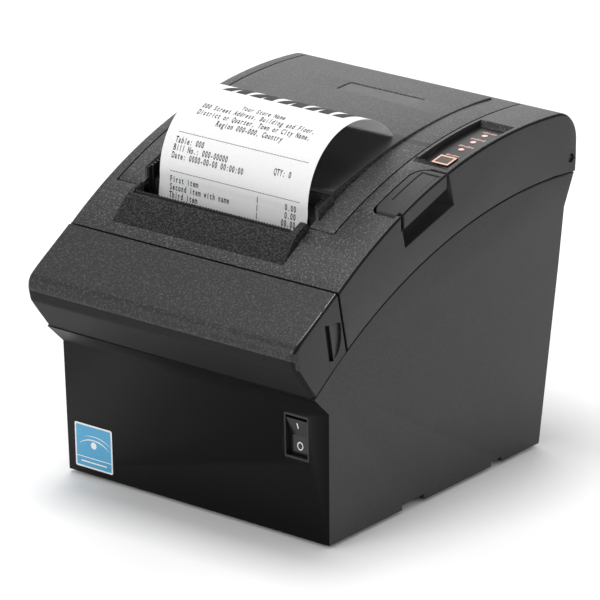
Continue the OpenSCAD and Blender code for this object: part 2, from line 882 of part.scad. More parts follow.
module mech_frame() {
    side = [[-63, 66], [-50, 52], [-8, 52], [-8, 60], [-15, 78], [-15, 92],
            [-22, 106], [-40, 107], [-46, 109], [-63, 103]];
    color(zinc)
        difference() {
            union() {
                for (x = frame_x)
                    across(x, x + frame_t)
                        polygon(side);
                block([frame_x[0], -50, 52], [frame_x[1] + frame_t, -19, 53.5]);
                block([-32, -51, 89.5], [16, -47.2, 97]);
                for (x = [-32, 12])
                    block([x, -51, 53], [x + 4, -49, 90]);
                block([frame_x[0], -62.9, 66.5], [frame_x[1] + frame_t, -61.4, 74]);
                for (x = [frame_x[0] + 1, frame_x[1] - 8])
                    block([x, -58.4, cut_z - 2], [x + 8.5, -41, cut_z - 0.1]);
            }
            bush_notch();
            rod(head_pivot_at, 1.5, -100, 100);
            rod(latch_at, 2.05, -100, 100);
            rod(cut_shaft_at, 2.05, -100, 100);
            rod(idler_at, 2, frame_x[0] - 1, frame_x[0] + 3);
            rod(motor_at, 5.2, frame_x[0] - 1, frame_x[0] + 3);
            for (x = spring_x)
                translate([x, -48.2, spring_z])
                    rotate([90, 0, 0])
                        translate([0, 0, -2])
                            cylinder(h = 4, r = 3.1);
            for (p = mech_screw_at)
                translate([p[0], p[1], 50])
                    cylinder(h = 6, r = 1.6);
            block([-26, -50.1, 50], [10, -43.5, 55]);
        }
}

module mech_screws() {
    color(steel)
        for (p = mech_screw_at)
            screw_up([p[0], p[1], 53.5], 2.8, 1.5, 3.4);
}

// Thermal head: a tilted plate with fins behind it, on a pivot below
module thermal_head() {
    face = head_face;
    color([0.72, 0.73, 0.75])
        difference() {
            union() {
                across(paper_mid - head_half_w, paper_mid + head_half_w)
                    polygon([face - 10 * web_t, face + 5 * web_t, face + 5 * web_t + 4 * web_n,
                             face - 10 * web_t + 4 * web_n]);
                for (x = spring_x)
                    translate([x, -38, spring_z])
                        rotate([90, 0, 0])
                            cylinder(h = 4.4, r = 1.6);
                for (x = [paper_mid - head_half_w, paper_mid + head_half_w - 2])
                    across(x, x + 2)
                        polygon([face - 9 * web_t + 3 * web_n, face + 4 * web_t + 3 * web_n, [-45, 90],
                                 head_pivot_at + [-2.6, -2], head_pivot_at + [2.6, -2.4]]);
            }
            rod(head_pivot_at, 1.55, -100, 100);
        }
}

module head_pivot() {
    color(steel)
        rod(head_pivot_at, 1.5, frame_x[0] - 0.4, frame_x[1] + frame_t + 0.4);
}

module head_springs() {
    color(steel)
        for (x = spring_x)
            translate([x, -40.7, spring_z])
                rotate([90, 0, 0])
                    difference() {
                        cylinder(h = head_spring_l, r = 2.5);
                        translate([0, 0, -1])
                            cylinder(h = head_spring_l + 2, r = 1.8);
                    }
}

module feed_motor() {
    color(steel)
        union() {
            rod(motor_at, motor_r, frame_x[0] + frame_t, frame_x[0] + frame_t + 19);
            rod(motor_at, 5, frame_x[0] - 0.8, frame_x[0] + frame_t + 1);
            rod(motor_at, 1, gear_x0, frame_x[0]);
        }
}

module motor_pinion() {
    color("goldenrod")
        gear(motor_at, pinion_teeth, motor_phase, gear_x0, gear_x0 + gear_t, 1.05);
}

module idler_gear() {
    color(gear_white)
        gear(idler_at, idler_teeth, idler_phase, gear_x0, gear_x0 + gear_t, 2.05);
}

module idler_axle() {
    color(steel)
        rod(idler_at, 2, gear_x0 - 1, frame_x[0] + frame_t);
}

// ---------- cutter ----------

// Racks under the blade, their teeth down on to the cutter shaft's pinions
module rack(x) {
    n = 7;
    y0 = cut_shaft_at[0] - rack_pitch * 5.5;
    y1 = y0 + n * rack_pitch;
    across(x - 2, x + 2)
        polygon(concat([[y0, rack_z + 2], [y0, rack_z + 0.9]],
                       [for (i = [0:n - 1])
                           let (y = y0 + (i + 0.5) * rack_pitch)
                           each [[y - 0.86, rack_z + 0.9], [y - 0.3, rack_z - 0.65],
                                 [y + 0.3, rack_z - 0.65], [y + 0.86, rack_z + 0.9]]],
                       [[y1, rack_z + 0.9], [y1, cut_z + 0.1],
                        [y1 - 2.5, cut_z + 0.1], [y1 - 2.5, rack_z + 2]]));
}

module moving_blade() {
    color(steel)
        union() {
            difference() {
                block([paper_mid - 41, -57.2, cut_z], [paper_mid + 41, blade_tip_y, cut_z + blade_t]);
                translate([paper_mid, blade_tip_y, cut_z - 1])
                    linear_extrude(3)
                        polygon([[-41.1, 0.1], [41.1, 0.1], [41.1, -0.2], [0, -2.6], [-41.1, -0.2]]);
            }
            for (x = rack_x)
                rack(x);
        }
}

module cutter_shaft() {
    color(gear_white)
        union() {
            rod(cut_shaft_at, 2, frame_x[0] - 0.8, frame_x[1] + frame_t + 1);
            for (x = rack_x)
                gear(cut_shaft_at, cut_pinion_teeth, 90 + 180 / cut_pinion_teeth, x - 2, x + 2, 1.9);
            gear(cut_shaft_at, cut_gear_teeth, cut_motor_turn, -53, -49.5, 1.9);
            difference() {
                rod(cut_shaft_at, 9, 30, 34);
                for (i = [0:23])
                    rod(cut_shaft_at + 9.3 * [cos(i * 15), sin(i * 15)], 0.7, 29, 35);
            }
        }
}

module cutter_motor() {
    color(steel)
        union() {
            rod(cut_motor_at, 9.5, -48.5, -24);
            rod(cut_motor_at, 1, -53, -47);
        }
}

module cutter_pinion() {
    color("goldenrod")
        gear(cut_motor_at, cut_motor_teeth, cut_motor_turn + 180 + 180 / cut_motor_teeth, -53, -49.5, 1.05);
}

// ---------- paper path and roll ----------

module bucket_half(r) {
    polygon(concat(turn(bucket_mid, r, 200, 360, 40), [bucket_mid + [r, 38]],
                   [bucket_mid + [-12, 38], bucket_mid + [-r * cos(20), 10 - r * sin(20) + 4]]));
}
module paper_bucket() {
    color(trim_black)
        difference() {
            union() {
                across(bucket_x[0] - 2, bucket_x[1] + 2)
                    bucket_half(bucket_r + 2);
                rod(near_end_at, 1.5, bucket_x[1] + 1, bucket_x[1] + 4.8);
            }
            across(bucket_x[0], bucket_x[1])
                polygon(concat(turn(bucket_mid, bucket_r, 200, 360, 40), [bucket_mid + [bucket_r, 60]],
                               [bucket_mid + [-60, 60], bucket_mid + [-60, -14.4]]));
            block([-100, -40, 76], [100, -12, 130]);
        }
}

module paper_roll() {
    color(paper_white)
        difference() {
            rod(roll_at, roll_r, paper_mid - 39.7, paper_mid + 39.7);
            rod(roll_at, 9, -100, 100);
        }
}

module roll_core() {
    color([0.72, 0.6, 0.44])
        difference() {
            rod(roll_at, 9, paper_mid - 39.7, paper_mid + 39.7);
            rod(roll_at, 6.5, -100, 100);
        }
}

module paper_web() {
    a = roll_at + (roll_r + web_gap) * web_n;
    b = nip_at;
    color(paper_white)
        across(paper_mid - paper_w / 2, paper_mid + paper_w / 2)
            polygon([a, b, b + paper_t * web_n, a + paper_t * web_n]);
}

module near_end_lever() {
    color(gear_white)
        difference() {
            union() {
                rod(near_end_at, 3, bucket_x[1] + 2.6, bucket_x[1] + 4.6);
                across(bucket_x[1] + 2.6, bucket_x[1] + 4.6)
                    polygon([near_end_at + [-2.4, 0], near_end_at + [2.4, 0],
                             near_end_at + [6, 22], near_end_at + [3, 22.6]]);
            }
            rod(near_end_at, 1.55, 0, 100);
        }
}

// ---------- boards and connectors ----------

module main_board() {
    color(board_green)
        difference() {
            block([-60, -62, board_z - 1.6], [60, 58, board_z]);
            for (p = board_posts)
                translate([p[0], p[1], 0])
                    cylinder(h = 20, r = 1.6);
        }
}

module connector_panel() {
    color(zinc)
        difference() {
            block([-60, jack_y - 1, 6.6], [60, jack_y, 37.3]);
            translate([dc_x, jack_y - 5, port_z + 7])
                rotate([-90, 0, 0])
                    cylinder(h = 10, r = 5.4);
            block([drawer_x - 6.6, 50, port_z], [drawer_x + 6.6, 70, port_z + 13]);
            block([usb_x - 6.1, 50, port_z], [usb_x + 6.1, 70, port_z + 11.2]);
            block([lan_x - 8, 50, port_z], [lan_x + 8, 70, port_z + 13.6]);
            block([serial_x - 9, 50, port_z + 1.6], [serial_x + 9, 70, port_z + 10.6]);
            for (s = [-1, 1])
                translate([serial_x + s * stud_gap / 2, jack_y - 5, port_z + 6.1])
                    rotate([-90, 0, 0])
                        cylinder(h = 10, r = 2.6);
            for (x = [-56, 56])
                translate([x, jack_y - 5, 32])
                    rotate([-90, 0, 0])
                        cylinder(h = 10, r = 1.6);
        }
}

module panel_screws() {
    color(steel)
        for (x = [-56, 56])
            translate([x, jack_y, 32])
                rotate([-90, 0, 0])
                    screw_up([0, 0, 0], 2.8, 1.5, 5);
}

module dc_jack() {
    color(trim_black)
        translate([dc_x, 0, port_z + 7])
            rotate([-90, 0, 0])
                union() {
                    difference() {
                        translate([-7, -7, 48])
                            cube([14, 14, jack_y - 49]);
                        translate([0, 0, 52])
                            cylinder(h = 20, r = 4.8);
                    }
                    difference() {
                        translate([0, 0, jack_y - 1])
                            cylinder(h = 1.4, r = 5.3);
                        translate([0, 0, 52])
                            cylinder(h = 20, r = 4.8);
                    }
                    for (a = [90, 210, 330])
                        translate([2.4 * cos(a), 2.4 * sin(a), 51])
                            cylinder(h = 9, r = 0.6);
                }
}

// Modular jack: a housing with a square mouth and a latch step above it
module modular_jack(x, w, h, mouth_w, mouth_h) {
    difference() {
        block([x - w / 2, jack_y - 16, port_z], [x + w / 2, jack_y + 0.4, port_z + h]);
        block([x - mouth_w / 2, jack_y - 12, port_z + 2.4],
              [x + mouth_w / 2, jack_y + 1, port_z + 2.4 + mouth_h]);
        block([x - 3.2, jack_y - 12, port_z + 2], [x + 3.2, jack_y + 1, port_z + 4 + mouth_h]);
    }
}

module drawer_jack() {
    color(trim_black)
        modular_jack(drawer_x, 13, 12.8, 9.8, 6.8);
}

module lan_port() {
    color(steel)
        modular_jack(lan_x, 15.8, 13.4, 11.8, 7.2);
}

module usb_port() {
    color(steel)
        union() {
            difference() {
                block([usb_x - 6, jack_y - 16, port_z], [usb_x + 6, jack_y + 0.4, port_z + 11]);
                block([usb_x - 4.25, jack_y - 10, port_z + 1.6], [usb_x + 4.25, jack_y + 1, port_z + 9.4]);
            }
            block([usb_x - 2.8, jack_y - 11, port_z + 4], [usb_x + 2.8, jack_y - 1.2, port_z + 7.1]);
        }
}

module serial_port() {
    color(steel)
        difference() {
            union() {
                block([serial_x - 15.4, jack_y - 12, port_z],
                      [serial_x + 15.4, jack_y - 1, port_z + 12.4]);
                block([serial_x - 8.8, jack_y - 2, port_z + 1.9],
                      [serial_x + 8.8, jack_y + 4.6, port_z + 10.3]);
                for (s = [-1, 1])
                    translate([serial_x + s * stud_gap / 2, jack_y - 1 - eps, port_z + 6.1])
                        rotate([-90, 0, 0])
                            cylinder(h = 5.6, r = 2.5, $fn = 6);
            }
            for (s = [-1, 1])
                translate([serial_x + s * stud_gap / 2, jack_y - 4, port_z + 6.1])
                    rotate([-90, 0, 0])
                        cylinder(h = 20, r = 1.2);
            for (i = [0:4])
                translate([serial_x + (i - 2) * 2.77, jack_y - 3, port_z + 7.5])
                    rotate([-90, 0, 0])
                        cylinder(h = 20, r = 0.6);
            for (i = [0:3])
                translate([serial_x + (i - 1.5) * 2.77, jack_y - 3, port_z + 4.7])
                    rotate([-90, 0, 0])
                        cylinder(h = 20, r = 0.6);
        }
}

// ---------- control panel and switch ----------

function floor_z(y) = arc_z(top_mid, floor_r, y);

// Board under the panel: a flat laminate, sloped with the recess floor
function board_top(y) = floor_z(panel_y0) + (y - panel_y0) * panel_fall - 4.6;
module panel_board() {
    y0 = 12.6;
    y1 = panel_y1 - 3;
    color(board_green)
        across(bay_x1 + wall + 0.4, 69.4)
            polygon([[y0, board_top(y0)], [y1, board_top(y1)],
                     [y1, board_top(y1) - 1.4], [y0, board_top(y0) - 1.4]]);
}

module panel_overlay() {
    color(trim_black)
        difference() {
            across(panel_x0 + 0.2, panel_x1 - 0.2)
                polygon(concat(arc_run(top_mid, floor_r + 0.5, panel_y0 + 0.2, panel_y1 - 2.8, 12),
                               arc_run(top_mid, floor_r + 0.02, panel_y1 - 2.8, panel_y0 + 0.2, 12)));
            button_hole();
            for (y = lamp_y)
                translate([panel_mid, y, 130])
                    cylinder(h = 20, r = led_r);
        }
}

module status_lamps() {
    color([0.95, 0.75, 0.72])
        for (y = lamp_y)
            translate([panel_mid, y, floor_z(y) + 0.22])
                cylinder(h = 0.4, r = led_r - 0.03);
}

module feed_button() {
    color([0.25, 0.22, 0.14])
        intersection() {
            block([panel_mid - button_w / 2, button_y - button_l / 2, 120],
                  [panel_mid + button_w / 2, button_y + button_l / 2, 160]);
            across(40, 80)
                polygon(concat(arc_run(top_mid, floor_r + 1, button_y - 5, button_y + 5, 6),
                               arc_run(top_mid, floor_r - 2.4, button_y + 5, button_y - 5, 6)));
        }
}

module switch_body() {
    x0 = switch_mid[0] - switch_w / 2;
    x1 = switch_mid[0] + switch_w / 2;
    z0 = switch_mid[1] - switch_h / 2;
    z1 = switch_mid[1] + switch_h / 2;
    color(trim_black)
        difference() {
            block([x0 + 0.1, front_y + 1, z0 + 0.1], [x1 - 0.1, front_y + 14, z1 - 0.1]);
            block([x0 + 1.4, front_y - 1, z0 + 1.4], [x1 - 1.4, front_y + 9, z1 - 1.4]);
            rod(rocker_at, axle_r + 0.05, switch_mid[0] - 6.5, switch_mid[0] + 6.5);
        }
}

// The rocker tips about an axle across the switch, and rests with its foot pressed in
module power_rocker() {
    color([0.035, 0.035, 0.04])
        translate([0, rocker_at[0], rocker_at[1]])
            rotate([rocker_tilt, 0, 0])
                union() {
                    across(switch_mid[0] - 5.4, switch_mid[0] + 5.4)
                        polygon([[-3.2, 8.1], [-2.1, 0], [-3.2, -8.1], [0.6, -7.8],
                                 [2.2, -2], [2.2, 2], [0.6, 7.8]]);
                    rod([0, 0], axle_r, switch_mid[0] - 6.4, switch_mid[0] + 6.4);
                }
}

// Flat ribbon from the head down to the main board
module head_cable() {
    run = [[-35.2, 86], [-38.4, 78], [-44, 57], [-47.6, 50], [-52.4, 44], [-52.4, board_z]];
    color([0.85, 0.85, 0.82])
        across(paper_mid - 16, paper_mid + 16)
            polygon(concat(run, [for (i = [len(run) - 1:-1:0]) run[i] + [0.35, 0]]));
}

lower_case();
upper_case();
base_plate();
rubber_feet();
base_screws();
cutter_cover();
exit_guard();
tear_bar();
front_sticker();
paper_cover();
cover_badge();
cover_liner();
hinge_pins();
platen_roller();
platen_shaft();
platen_bushes();
platen_gear();
fixed_blade();
receipt_slip();
cover_open_lever();
lever_pin();
lever_spring();
latch_shaft();
latch_hooks();
mech_frame();
thermal_head();
head_pivot();
head_springs();
feed_motor();
motor_pinion();
idler_gear();
idler_axle();
moving_blade();
cutter_shaft();
cutter_motor();
cutter_pinion();
paper_bucket();
paper_roll();
roll_core();
paper_web();
near_end_lever();
main_board();
connector_panel();
panel_screws();
dc_jack();
drawer_jack();
usb_port();
lan_port();
serial_port();
panel_board();
panel_overlay();
status_lamps();
feed_button();
switch_body();
power_rocker();
head_cable();
mech_screws();
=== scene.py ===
# A receipt printer's looks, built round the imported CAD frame. Sizes in this file are in
# millimetres and are turned into metres by mm() or by the mesh builders.
import json
import math

import bmesh
import bpy
from mathutils import Matrix, Vector


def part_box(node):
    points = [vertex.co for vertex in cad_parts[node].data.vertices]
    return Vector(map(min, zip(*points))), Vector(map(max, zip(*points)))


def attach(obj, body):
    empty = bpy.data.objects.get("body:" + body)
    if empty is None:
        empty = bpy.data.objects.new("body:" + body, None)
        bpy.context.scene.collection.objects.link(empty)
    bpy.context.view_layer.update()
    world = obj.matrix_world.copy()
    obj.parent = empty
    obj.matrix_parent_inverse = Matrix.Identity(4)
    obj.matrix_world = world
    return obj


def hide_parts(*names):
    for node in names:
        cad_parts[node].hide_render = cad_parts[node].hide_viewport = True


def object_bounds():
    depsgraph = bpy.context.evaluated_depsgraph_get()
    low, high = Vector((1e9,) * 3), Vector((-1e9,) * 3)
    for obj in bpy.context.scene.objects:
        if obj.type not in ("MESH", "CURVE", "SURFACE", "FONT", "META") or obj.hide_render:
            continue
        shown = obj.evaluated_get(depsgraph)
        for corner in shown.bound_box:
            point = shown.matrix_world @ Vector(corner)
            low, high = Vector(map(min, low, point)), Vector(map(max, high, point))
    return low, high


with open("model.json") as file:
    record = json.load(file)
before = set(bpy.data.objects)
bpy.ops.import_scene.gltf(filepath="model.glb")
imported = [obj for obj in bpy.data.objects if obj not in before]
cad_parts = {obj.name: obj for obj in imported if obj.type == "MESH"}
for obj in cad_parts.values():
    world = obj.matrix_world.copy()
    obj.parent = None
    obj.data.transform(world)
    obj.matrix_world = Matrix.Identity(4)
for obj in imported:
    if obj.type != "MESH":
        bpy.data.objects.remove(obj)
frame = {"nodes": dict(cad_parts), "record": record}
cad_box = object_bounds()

MM = 0.001
NODES = frame["nodes"]


def mm(*values):
    return Vector([v * MM for v in values])


def linked(name, data):
    """A new object, linked to the scene."""
    obj = bpy.data.objects.new(name, data)
    bpy.context.scene.collection.objects.link(obj)
    return obj


# ---------- camera, light and floor ----------

SENSOR, LENS = 36.0, 316.932
CAMERA_AT = Vector((1.3379, -1.5994, 0.8390))
AZIMUTH, ELEVATION, ROLL = (math.radians(a) for a in (39.97, 20.21, -1.23))


def make_camera():
    data = bpy.data.cameras.new("camera")
    data.sensor_width = SENSOR
    data.lens = LENS
    data.clip_start, data.clip_end = 0.1, 50
    back = Vector((math.sin(AZIMUTH) * math.cos(ELEVATION),
                   -math.cos(AZIMUTH) * math.cos(ELEVATION),
                   math.sin(ELEVATION)))
    right = (-back).cross(Vector((0, 0, 1))).normalized()
    up = right.cross(-back)
    turned_right = math.cos(ROLL) * right + math.sin(ROLL) * up
    turned_up = -math.sin(ROLL) * right + math.cos(ROLL) * up
    camera = linked("camera", data)
    turn = Matrix((turned_right, turned_up, back)).transposed().to_4x4()
    camera.matrix_world = Matrix.Translation(CAMERA_AT) @ turn
    bpy.context.scene.camera = camera


def soft_light(name, at, target, size, power):
    data = bpy.data.lights.new(name, "AREA")
    data.shape = "RECTANGLE"
    data.size, data.size_y = size
    data.energy = power
    light = linked(name, data)
    light.location = at
    light.rotation_mode = "QUATERNION"
    light.rotation_quaternion = (Vector(target) - Vector(at)).to_track_quat("-Z", "Y")


def make_world(strength):
    world = bpy.data.worlds.new("studio")
    bpy.context.scene.world = world
    world.use_nodes = True
    background = world.node_tree.nodes["Background"]
    background.inputs["Color"].default_value = (1, 1, 1, 1)
    background.inputs["Strength"].default_value = strength


# ---------- materials ----------

MATERIALS = {}


class Paint:
    """A principled material and short ways to add nodes to it."""

    def __init__(self, name, color, roughness, metallic=0.0, **sockets):
        self.material = bpy.data.materials.new(name)
        self.material.use_nodes = True
        self.tree = self.material.node_tree
        self.shader = self.tree.nodes["Principled BSDF"]
        self.shader.inputs["Base Color"].default_value = (*color, 1)
        self.shader.inputs["Roughness"].default_value = roughness
        self.shader.inputs["Metallic"].default_value = metallic
        for socket, value in sockets.items():
            self.shader.inputs[socket.replace("_", " ")].default_value = value
        self.coords = self.tree.nodes.new("ShaderNodeTexCoord")
        MATERIALS[name] = self.material

    def link(self, a, b):
        self.tree.links.new(a, b)

    def noise(self, scale, detail=2.0, stretch=(1, 1, 1)):
        mapping = self.tree.nodes.new("ShaderNodeMapping")
        mapping.inputs["Scale"].default_value = stretch
        self.link(self.coords.outputs["Object"], mapping.inputs["Vector"])
        node = self.tree.nodes.new("ShaderNodeTexNoise")
        node.inputs["Scale"].default_value = scale
        node.inputs["Detail"].default_value = detail
        self.link(mapping.outputs["Vector"], node.inputs["Vector"])
        return node.outputs["Fac"]

    def cells(self, scale):
        node = self.tree.nodes.new("ShaderNodeTexVoronoi")
        node.inputs["Scale"].default_value = scale
        self.link(self.coords.outputs["Object"], node.inputs["Vector"])
        return node.outputs["Distance"]

    def ramp(self, fac, stops):
        node = self.tree.nodes.new("ShaderNodeValToRGB")
        elements = node.color_ramp.elements
        while len(elements) < len(stops):
            elements.new(0.5)
        for element, (at, color) in zip(elements, stops):
            element.position = at
            element.color = (*color, 1) if isinstance(color, tuple) else (color, color, color, 1)
        self.link(fac, node.inputs["Fac"])
        return node.outputs["Color"]

    def mix(self, fac, a, b, blend="MIX"):
        node = self.tree.nodes.new("ShaderNodeMix")
        node.data_type = "RGBA"
        node.blend_type = blend
        for value, socket in ((fac, node.inputs[0]), (a, node.inputs[6]), (b, node.inputs[7])):
            if isinstance(value, (int, float)):
                socket.default_value = value
            elif isinstance(value, tuple):
                socket.default_value = (*value, 1)
            else:
                self.link(value, socket)
        return node.outputs[2]

    def color(self, socket):
        self.link(socket, self.shader.inputs["Base Color"])

    def rough(self, fac, low, high):
        node = self.tree.nodes.new("ShaderNodeMapRange")
        node.inputs["To Min"].default_value = low
        node.inputs["To Max"].default_value = high
        self.link(fac, node.inputs["Value"])
        self.link(node.outputs["Result"], self.shader.inputs["Roughness"])

    def bump(self, height, depth_mm, strength=1.0):
        node = self.tree.nodes.new("ShaderNodeBump")
        node.inputs["Distance"].default_value = depth_mm * MM
        node.inputs["Strength"].default_value = strength
        self.link(height, node.inputs["Height"])
        self.link(node.outputs["Normal"], self.shader.inputs["Normal"])


def moulded(name, color, fleck, grain_mm, depth_mm, roughness, fleck_share=0.5, specular=0.5):
    """Moulded plastic with a spark-eroded grain: light flecks on the tips of a fine bump."""
    p = Paint(name, color, roughness, Specular_IOR_Level=specular)
    grain = p.noise(1 / (grain_mm * MM), 3.0)
    large = p.noise(60, 2.0)
    tips = p.ramp(grain, [(fleck_share, 0.0), (fleck_share + 0.1, 1.0)])
    tone = p.mix(tips, color, fleck)
    worn = p.ramp(large, [(0.3, 0.93), (0.7, 1.07)])
    p.color(p.mix(1.0, tone, worn, "MULTIPLY"))
    p.rough(grain, roughness - 0.06, roughness + 0.1)
    p.bump(grain, depth_mm)
    return p.material


def make_materials():
    moulded("casing", (0.007, 0.0066, 0.0072), (0.07, 0.068, 0.0705), 0.85, 0.24, 0.44, 0.53)
    moulded("casing_side", (0.017, 0.0163, 0.0173), (0.031, 0.0298, 0.0313), 0.55, 0.05, 0.46,
            specular=0.42)
    moulded("nose", (0.008, 0.0075, 0.0082), (0.042, 0.0405, 0.0424), 0.85, 0.12, 0.42, 0.52, 0.45)
    # Painted shade on the nose's downward slope: a darker, duller copy of the nose material.
    moulded("nose_under", (0.004, 0.0037, 0.0041), (0.012, 0.0115, 0.0122), 0.6, 0.05, 0.5,
            specular=0.15)
    moulded("smooth_end", (0.011, 0.0105, 0.0113), (0.019, 0.0183, 0.0193), 0.6, 0.03, 0.44,
            specular=0.4)
    moulded("polished_edge", (0.012, 0.0115, 0.0122), (0.016, 0.0155, 0.0162), 0.8, 0.005, 0.22)
    # Painted shade on the rounded top-to-side edges: a darker, duller copy of the casing that
    # stands in for the dark band the rounding reflects.
    moulded("crease", (0.004, 0.0037, 0.0041), (0.006, 0.0057, 0.0061), 0.6, 0.01, 0.5,
            specular=0.12)
    moulded("guard", (0.003, 0.0028, 0.0032), (0.036, 0.035, 0.0363), 0.8, 0.25, 0.5, 0.48, 0.22)
    # Black trim, the own colour of the liner, paper bucket, tear bar and jacks; it is also patched
    # onto the crown under the paper's curl as painted shadow.
    moulded("trim", (0.006, 0.0058, 0.0063), (0.01, 0.0098, 0.0105), 0.5, 0.02, 0.42,
            specular=0.35)
    moulded("panel_black", (0.006, 0.0055, 0.0057), (0.01, 0.0092, 0.0095), 0.5, 0.01, 0.36,
            specular=0.25)
    # The front panel's smooth finish with painted shade: its colour is made near black because
    # little light reaches the front.
    moulded("front_black", (0.0013, 0.0011, 0.0014), (0.0022, 0.002, 0.0023), 0.5, 0.01, 0.34,
            specular=0.09)
    moulded("base", (0.014, 0.014, 0.0145), (0.028, 0.028, 0.03), 0.6, 0.04, 0.5)

    rubber = Paint("rubber", (0.02, 0.02, 0.02), 0.75)
    rubber.bump(rubber.noise(900), 0.05)
    rubber.rough(rubber.noise(400), 0.65, 0.85)

    for name, color, low, high, stretch in (
        ("steel", (0.62, 0.63, 0.65), 0.22, 0.36, (1, 25, 25)),
        ("zinc", (0.5, 0.51, 0.52), 0.3, 0.5, (1, 3, 3)),
        ("alloy", (0.68, 0.69, 0.7), 0.28, 0.42, (30, 1, 1)),
        ("brass", (0.72, 0.52, 0.24), 0.25, 0.35, (20, 1, 1)),
    ):
        p = Paint(name, color, low, 1.0)
        lines = p.noise(160, 4.0, stretch)
        dull = tuple(0.82 * c for c in color)
        p.color(p.mix(p.ramp(lines, [(0.35, 0.0), (0.65, 1.0)]), dull, color))
        p.rough(lines, low, high)
        p.bump(lines, 0.012)

    acetal = Paint("acetal", (0.76, 0.75, 0.7), 0.35, Subsurface_Weight=0.1)
    acetal.rough(acetal.noise(300), 0.3, 0.45)
    acetal.color(acetal.mix(acetal.noise(90), (0.72, 0.71, 0.66), (0.8, 0.79, 0.74)))

    paper = Paint("paper", (0.9, 0.9, 0.91), 0.62, Subsurface_Weight=0.3, Subsurface_Scale=0.6 * MM)
    paper.shader.inputs["Subsurface Radius"].default_value = (1, 1, 1)
    fibre = paper.noise(700, 5.0)
    paper.color(paper.mix(fibre, (0.86, 0.86, 0.875), (0.93, 0.93, 0.935)))
    paper.bump(fibre, 0.01)

    rolled = Paint("rolled_paper", (0.88, 0.88, 0.87), 0.7)
    wound = rolled.noise(1200, 2.0, (0.05, 1, 1))
    rolled.color(rolled.mix(wound, (0.8, 0.8, 0.79), (0.9, 0.9, 0.89)))
    rolled.bump(wound, 0.03)

    ink = Paint("ink", (0.01, 0.01, 0.012), 0.6, Specular_IOR_Level=0.2)
    ink.color(ink.mix(ink.noise(2500, 4.0), (0.005, 0.005, 0.007), (0.02, 0.02, 0.024)))

    card = Paint("card", (0.45, 0.34, 0.22), 0.8)
    card.color(card.mix(card.noise(500, 4.0, (1, 4, 4)), (0.4, 0.3, 0.19), (0.52, 0.4, 0.27)))
    card.bump(card.noise(500, 4.0, (1, 4, 4)), 0.05)

    board = Paint("board", (0.015, 0.12, 0.05), 0.35)
    tracks = board.ramp(board.cells(400), [(0.3, 0.0), (0.34, 1.0)])
    board.color(board.mix(tracks, (0.02, 0.17, 0.08), (0.012, 0.1, 0.045)))
    board.rough(board.noise(200), 0.28, 0.42)

    for name, color, low, high in (
        ("gloss_black", (0.006, 0.006, 0.007), 0.12, 0.22),
        ("satin_black", (0.011, 0.011, 0.012), 0.3, 0.42),
        ("key_olive", (0.03, 0.02, 0.012), 0.4, 0.5),
        ("ribbon", (0.68, 0.68, 0.65), 0.4, 0.5),
        ("mark_white", (0.8, 0.8, 0.8), 0.4, 0.5),
        ("mark_peach", (0.86, 0.5, 0.36), 0.4, 0.5),
        ("mark_pink", (0.62, 0.33, 0.3), 0.4, 0.5),
        ("sticker_blue", (0.07, 0.34, 0.56), 0.25, 0.35),
        ("badge", (0.03, 0.029, 0.0305), 0.42, 0.52),
        ("dark_steel", (0.012, 0.012, 0.013), 0.3, 0.4),
        # Near black: the tear bar's teeth wear it as their own colour, and it is patched as painted
        # shade onto the faces that line gaps, seams, grooves and recesses.
        ("gap_black", (0.004, 0.004, 0.0043), 0.5, 0.6),
    ):
        p = Paint(name, color, low)
        cloud = p.noise(240, 3.0)
        p.color(p.mix(cloud, tuple(0.9 * c for c in color), tuple(min(1, 1.1 * c) for c in color)))
        p.rough(cloud, low, high)

    lamp = Paint("lamp", (0.9, 0.6, 0.54), 0.3)
    lamp.color(lamp.mix(lamp.noise(900), (0.75, 0.42, 0.36), (0.9, 0.62, 0.56)))


def wear(obj, material):
    obj.data.materials.clear()
    obj.data.materials.append(MATERIALS[material])


NODE_LOOKS = {
    "casing": ["upper_case", "cutter_cover", "paper_cover", "cover_open_lever"],
    "casing_side": ["lower_case"],
    "badge": ["cover_badge"],
    "guard": ["exit_guard"],
    "trim": ["cover_liner", "paper_bucket", "tear_bar", "drawer_jack", "dc_jack"],
    "base": ["base_plate"],
    "rubber": ["rubber_feet", "platen_roller"],
    "dark_steel": ["hinge_pins", "lever_pin"],
    "steel": ["base_screws", "platen_shaft", "fixed_blade", "lever_spring", "latch_shaft",
              "head_pivot", "head_springs", "idler_axle", "moving_blade", "panel_screws",
              "mech_screws"],
    "zinc": ["latch_hooks", "mech_frame", "connector_panel", "feed_motor", "cutter_motor",
             "usb_port", "lan_port", "serial_port"],
    "alloy": ["thermal_head"],
    "brass": ["motor_pinion", "cutter_pinion"],
    "acetal": ["platen_bushes", "platen_gear", "idler_gear", "cutter_shaft", "near_end_lever"],
    "paper": ["receipt_slip", "paper_web"],
    "rolled_paper": ["paper_roll"],
    "card": ["roll_core"],
    "board": ["main_board", "panel_board"],
    "sticker_blue": ["front_sticker"],
    "panel_black": ["panel_overlay"],
    "lamp": ["status_lamps"],
    "key_olive": ["feed_button"],
    "gloss_black": ["power_rocker"],
    "satin_black": ["switch_body"],
    "ribbon": ["head_cable"],
}


def dress_nodes():
    for material, names in NODE_LOOKS.items():
        for name in names:
            wear(NODES[name], material)


# ---------- the casing's outline, as [y, z] in millimetres ----------

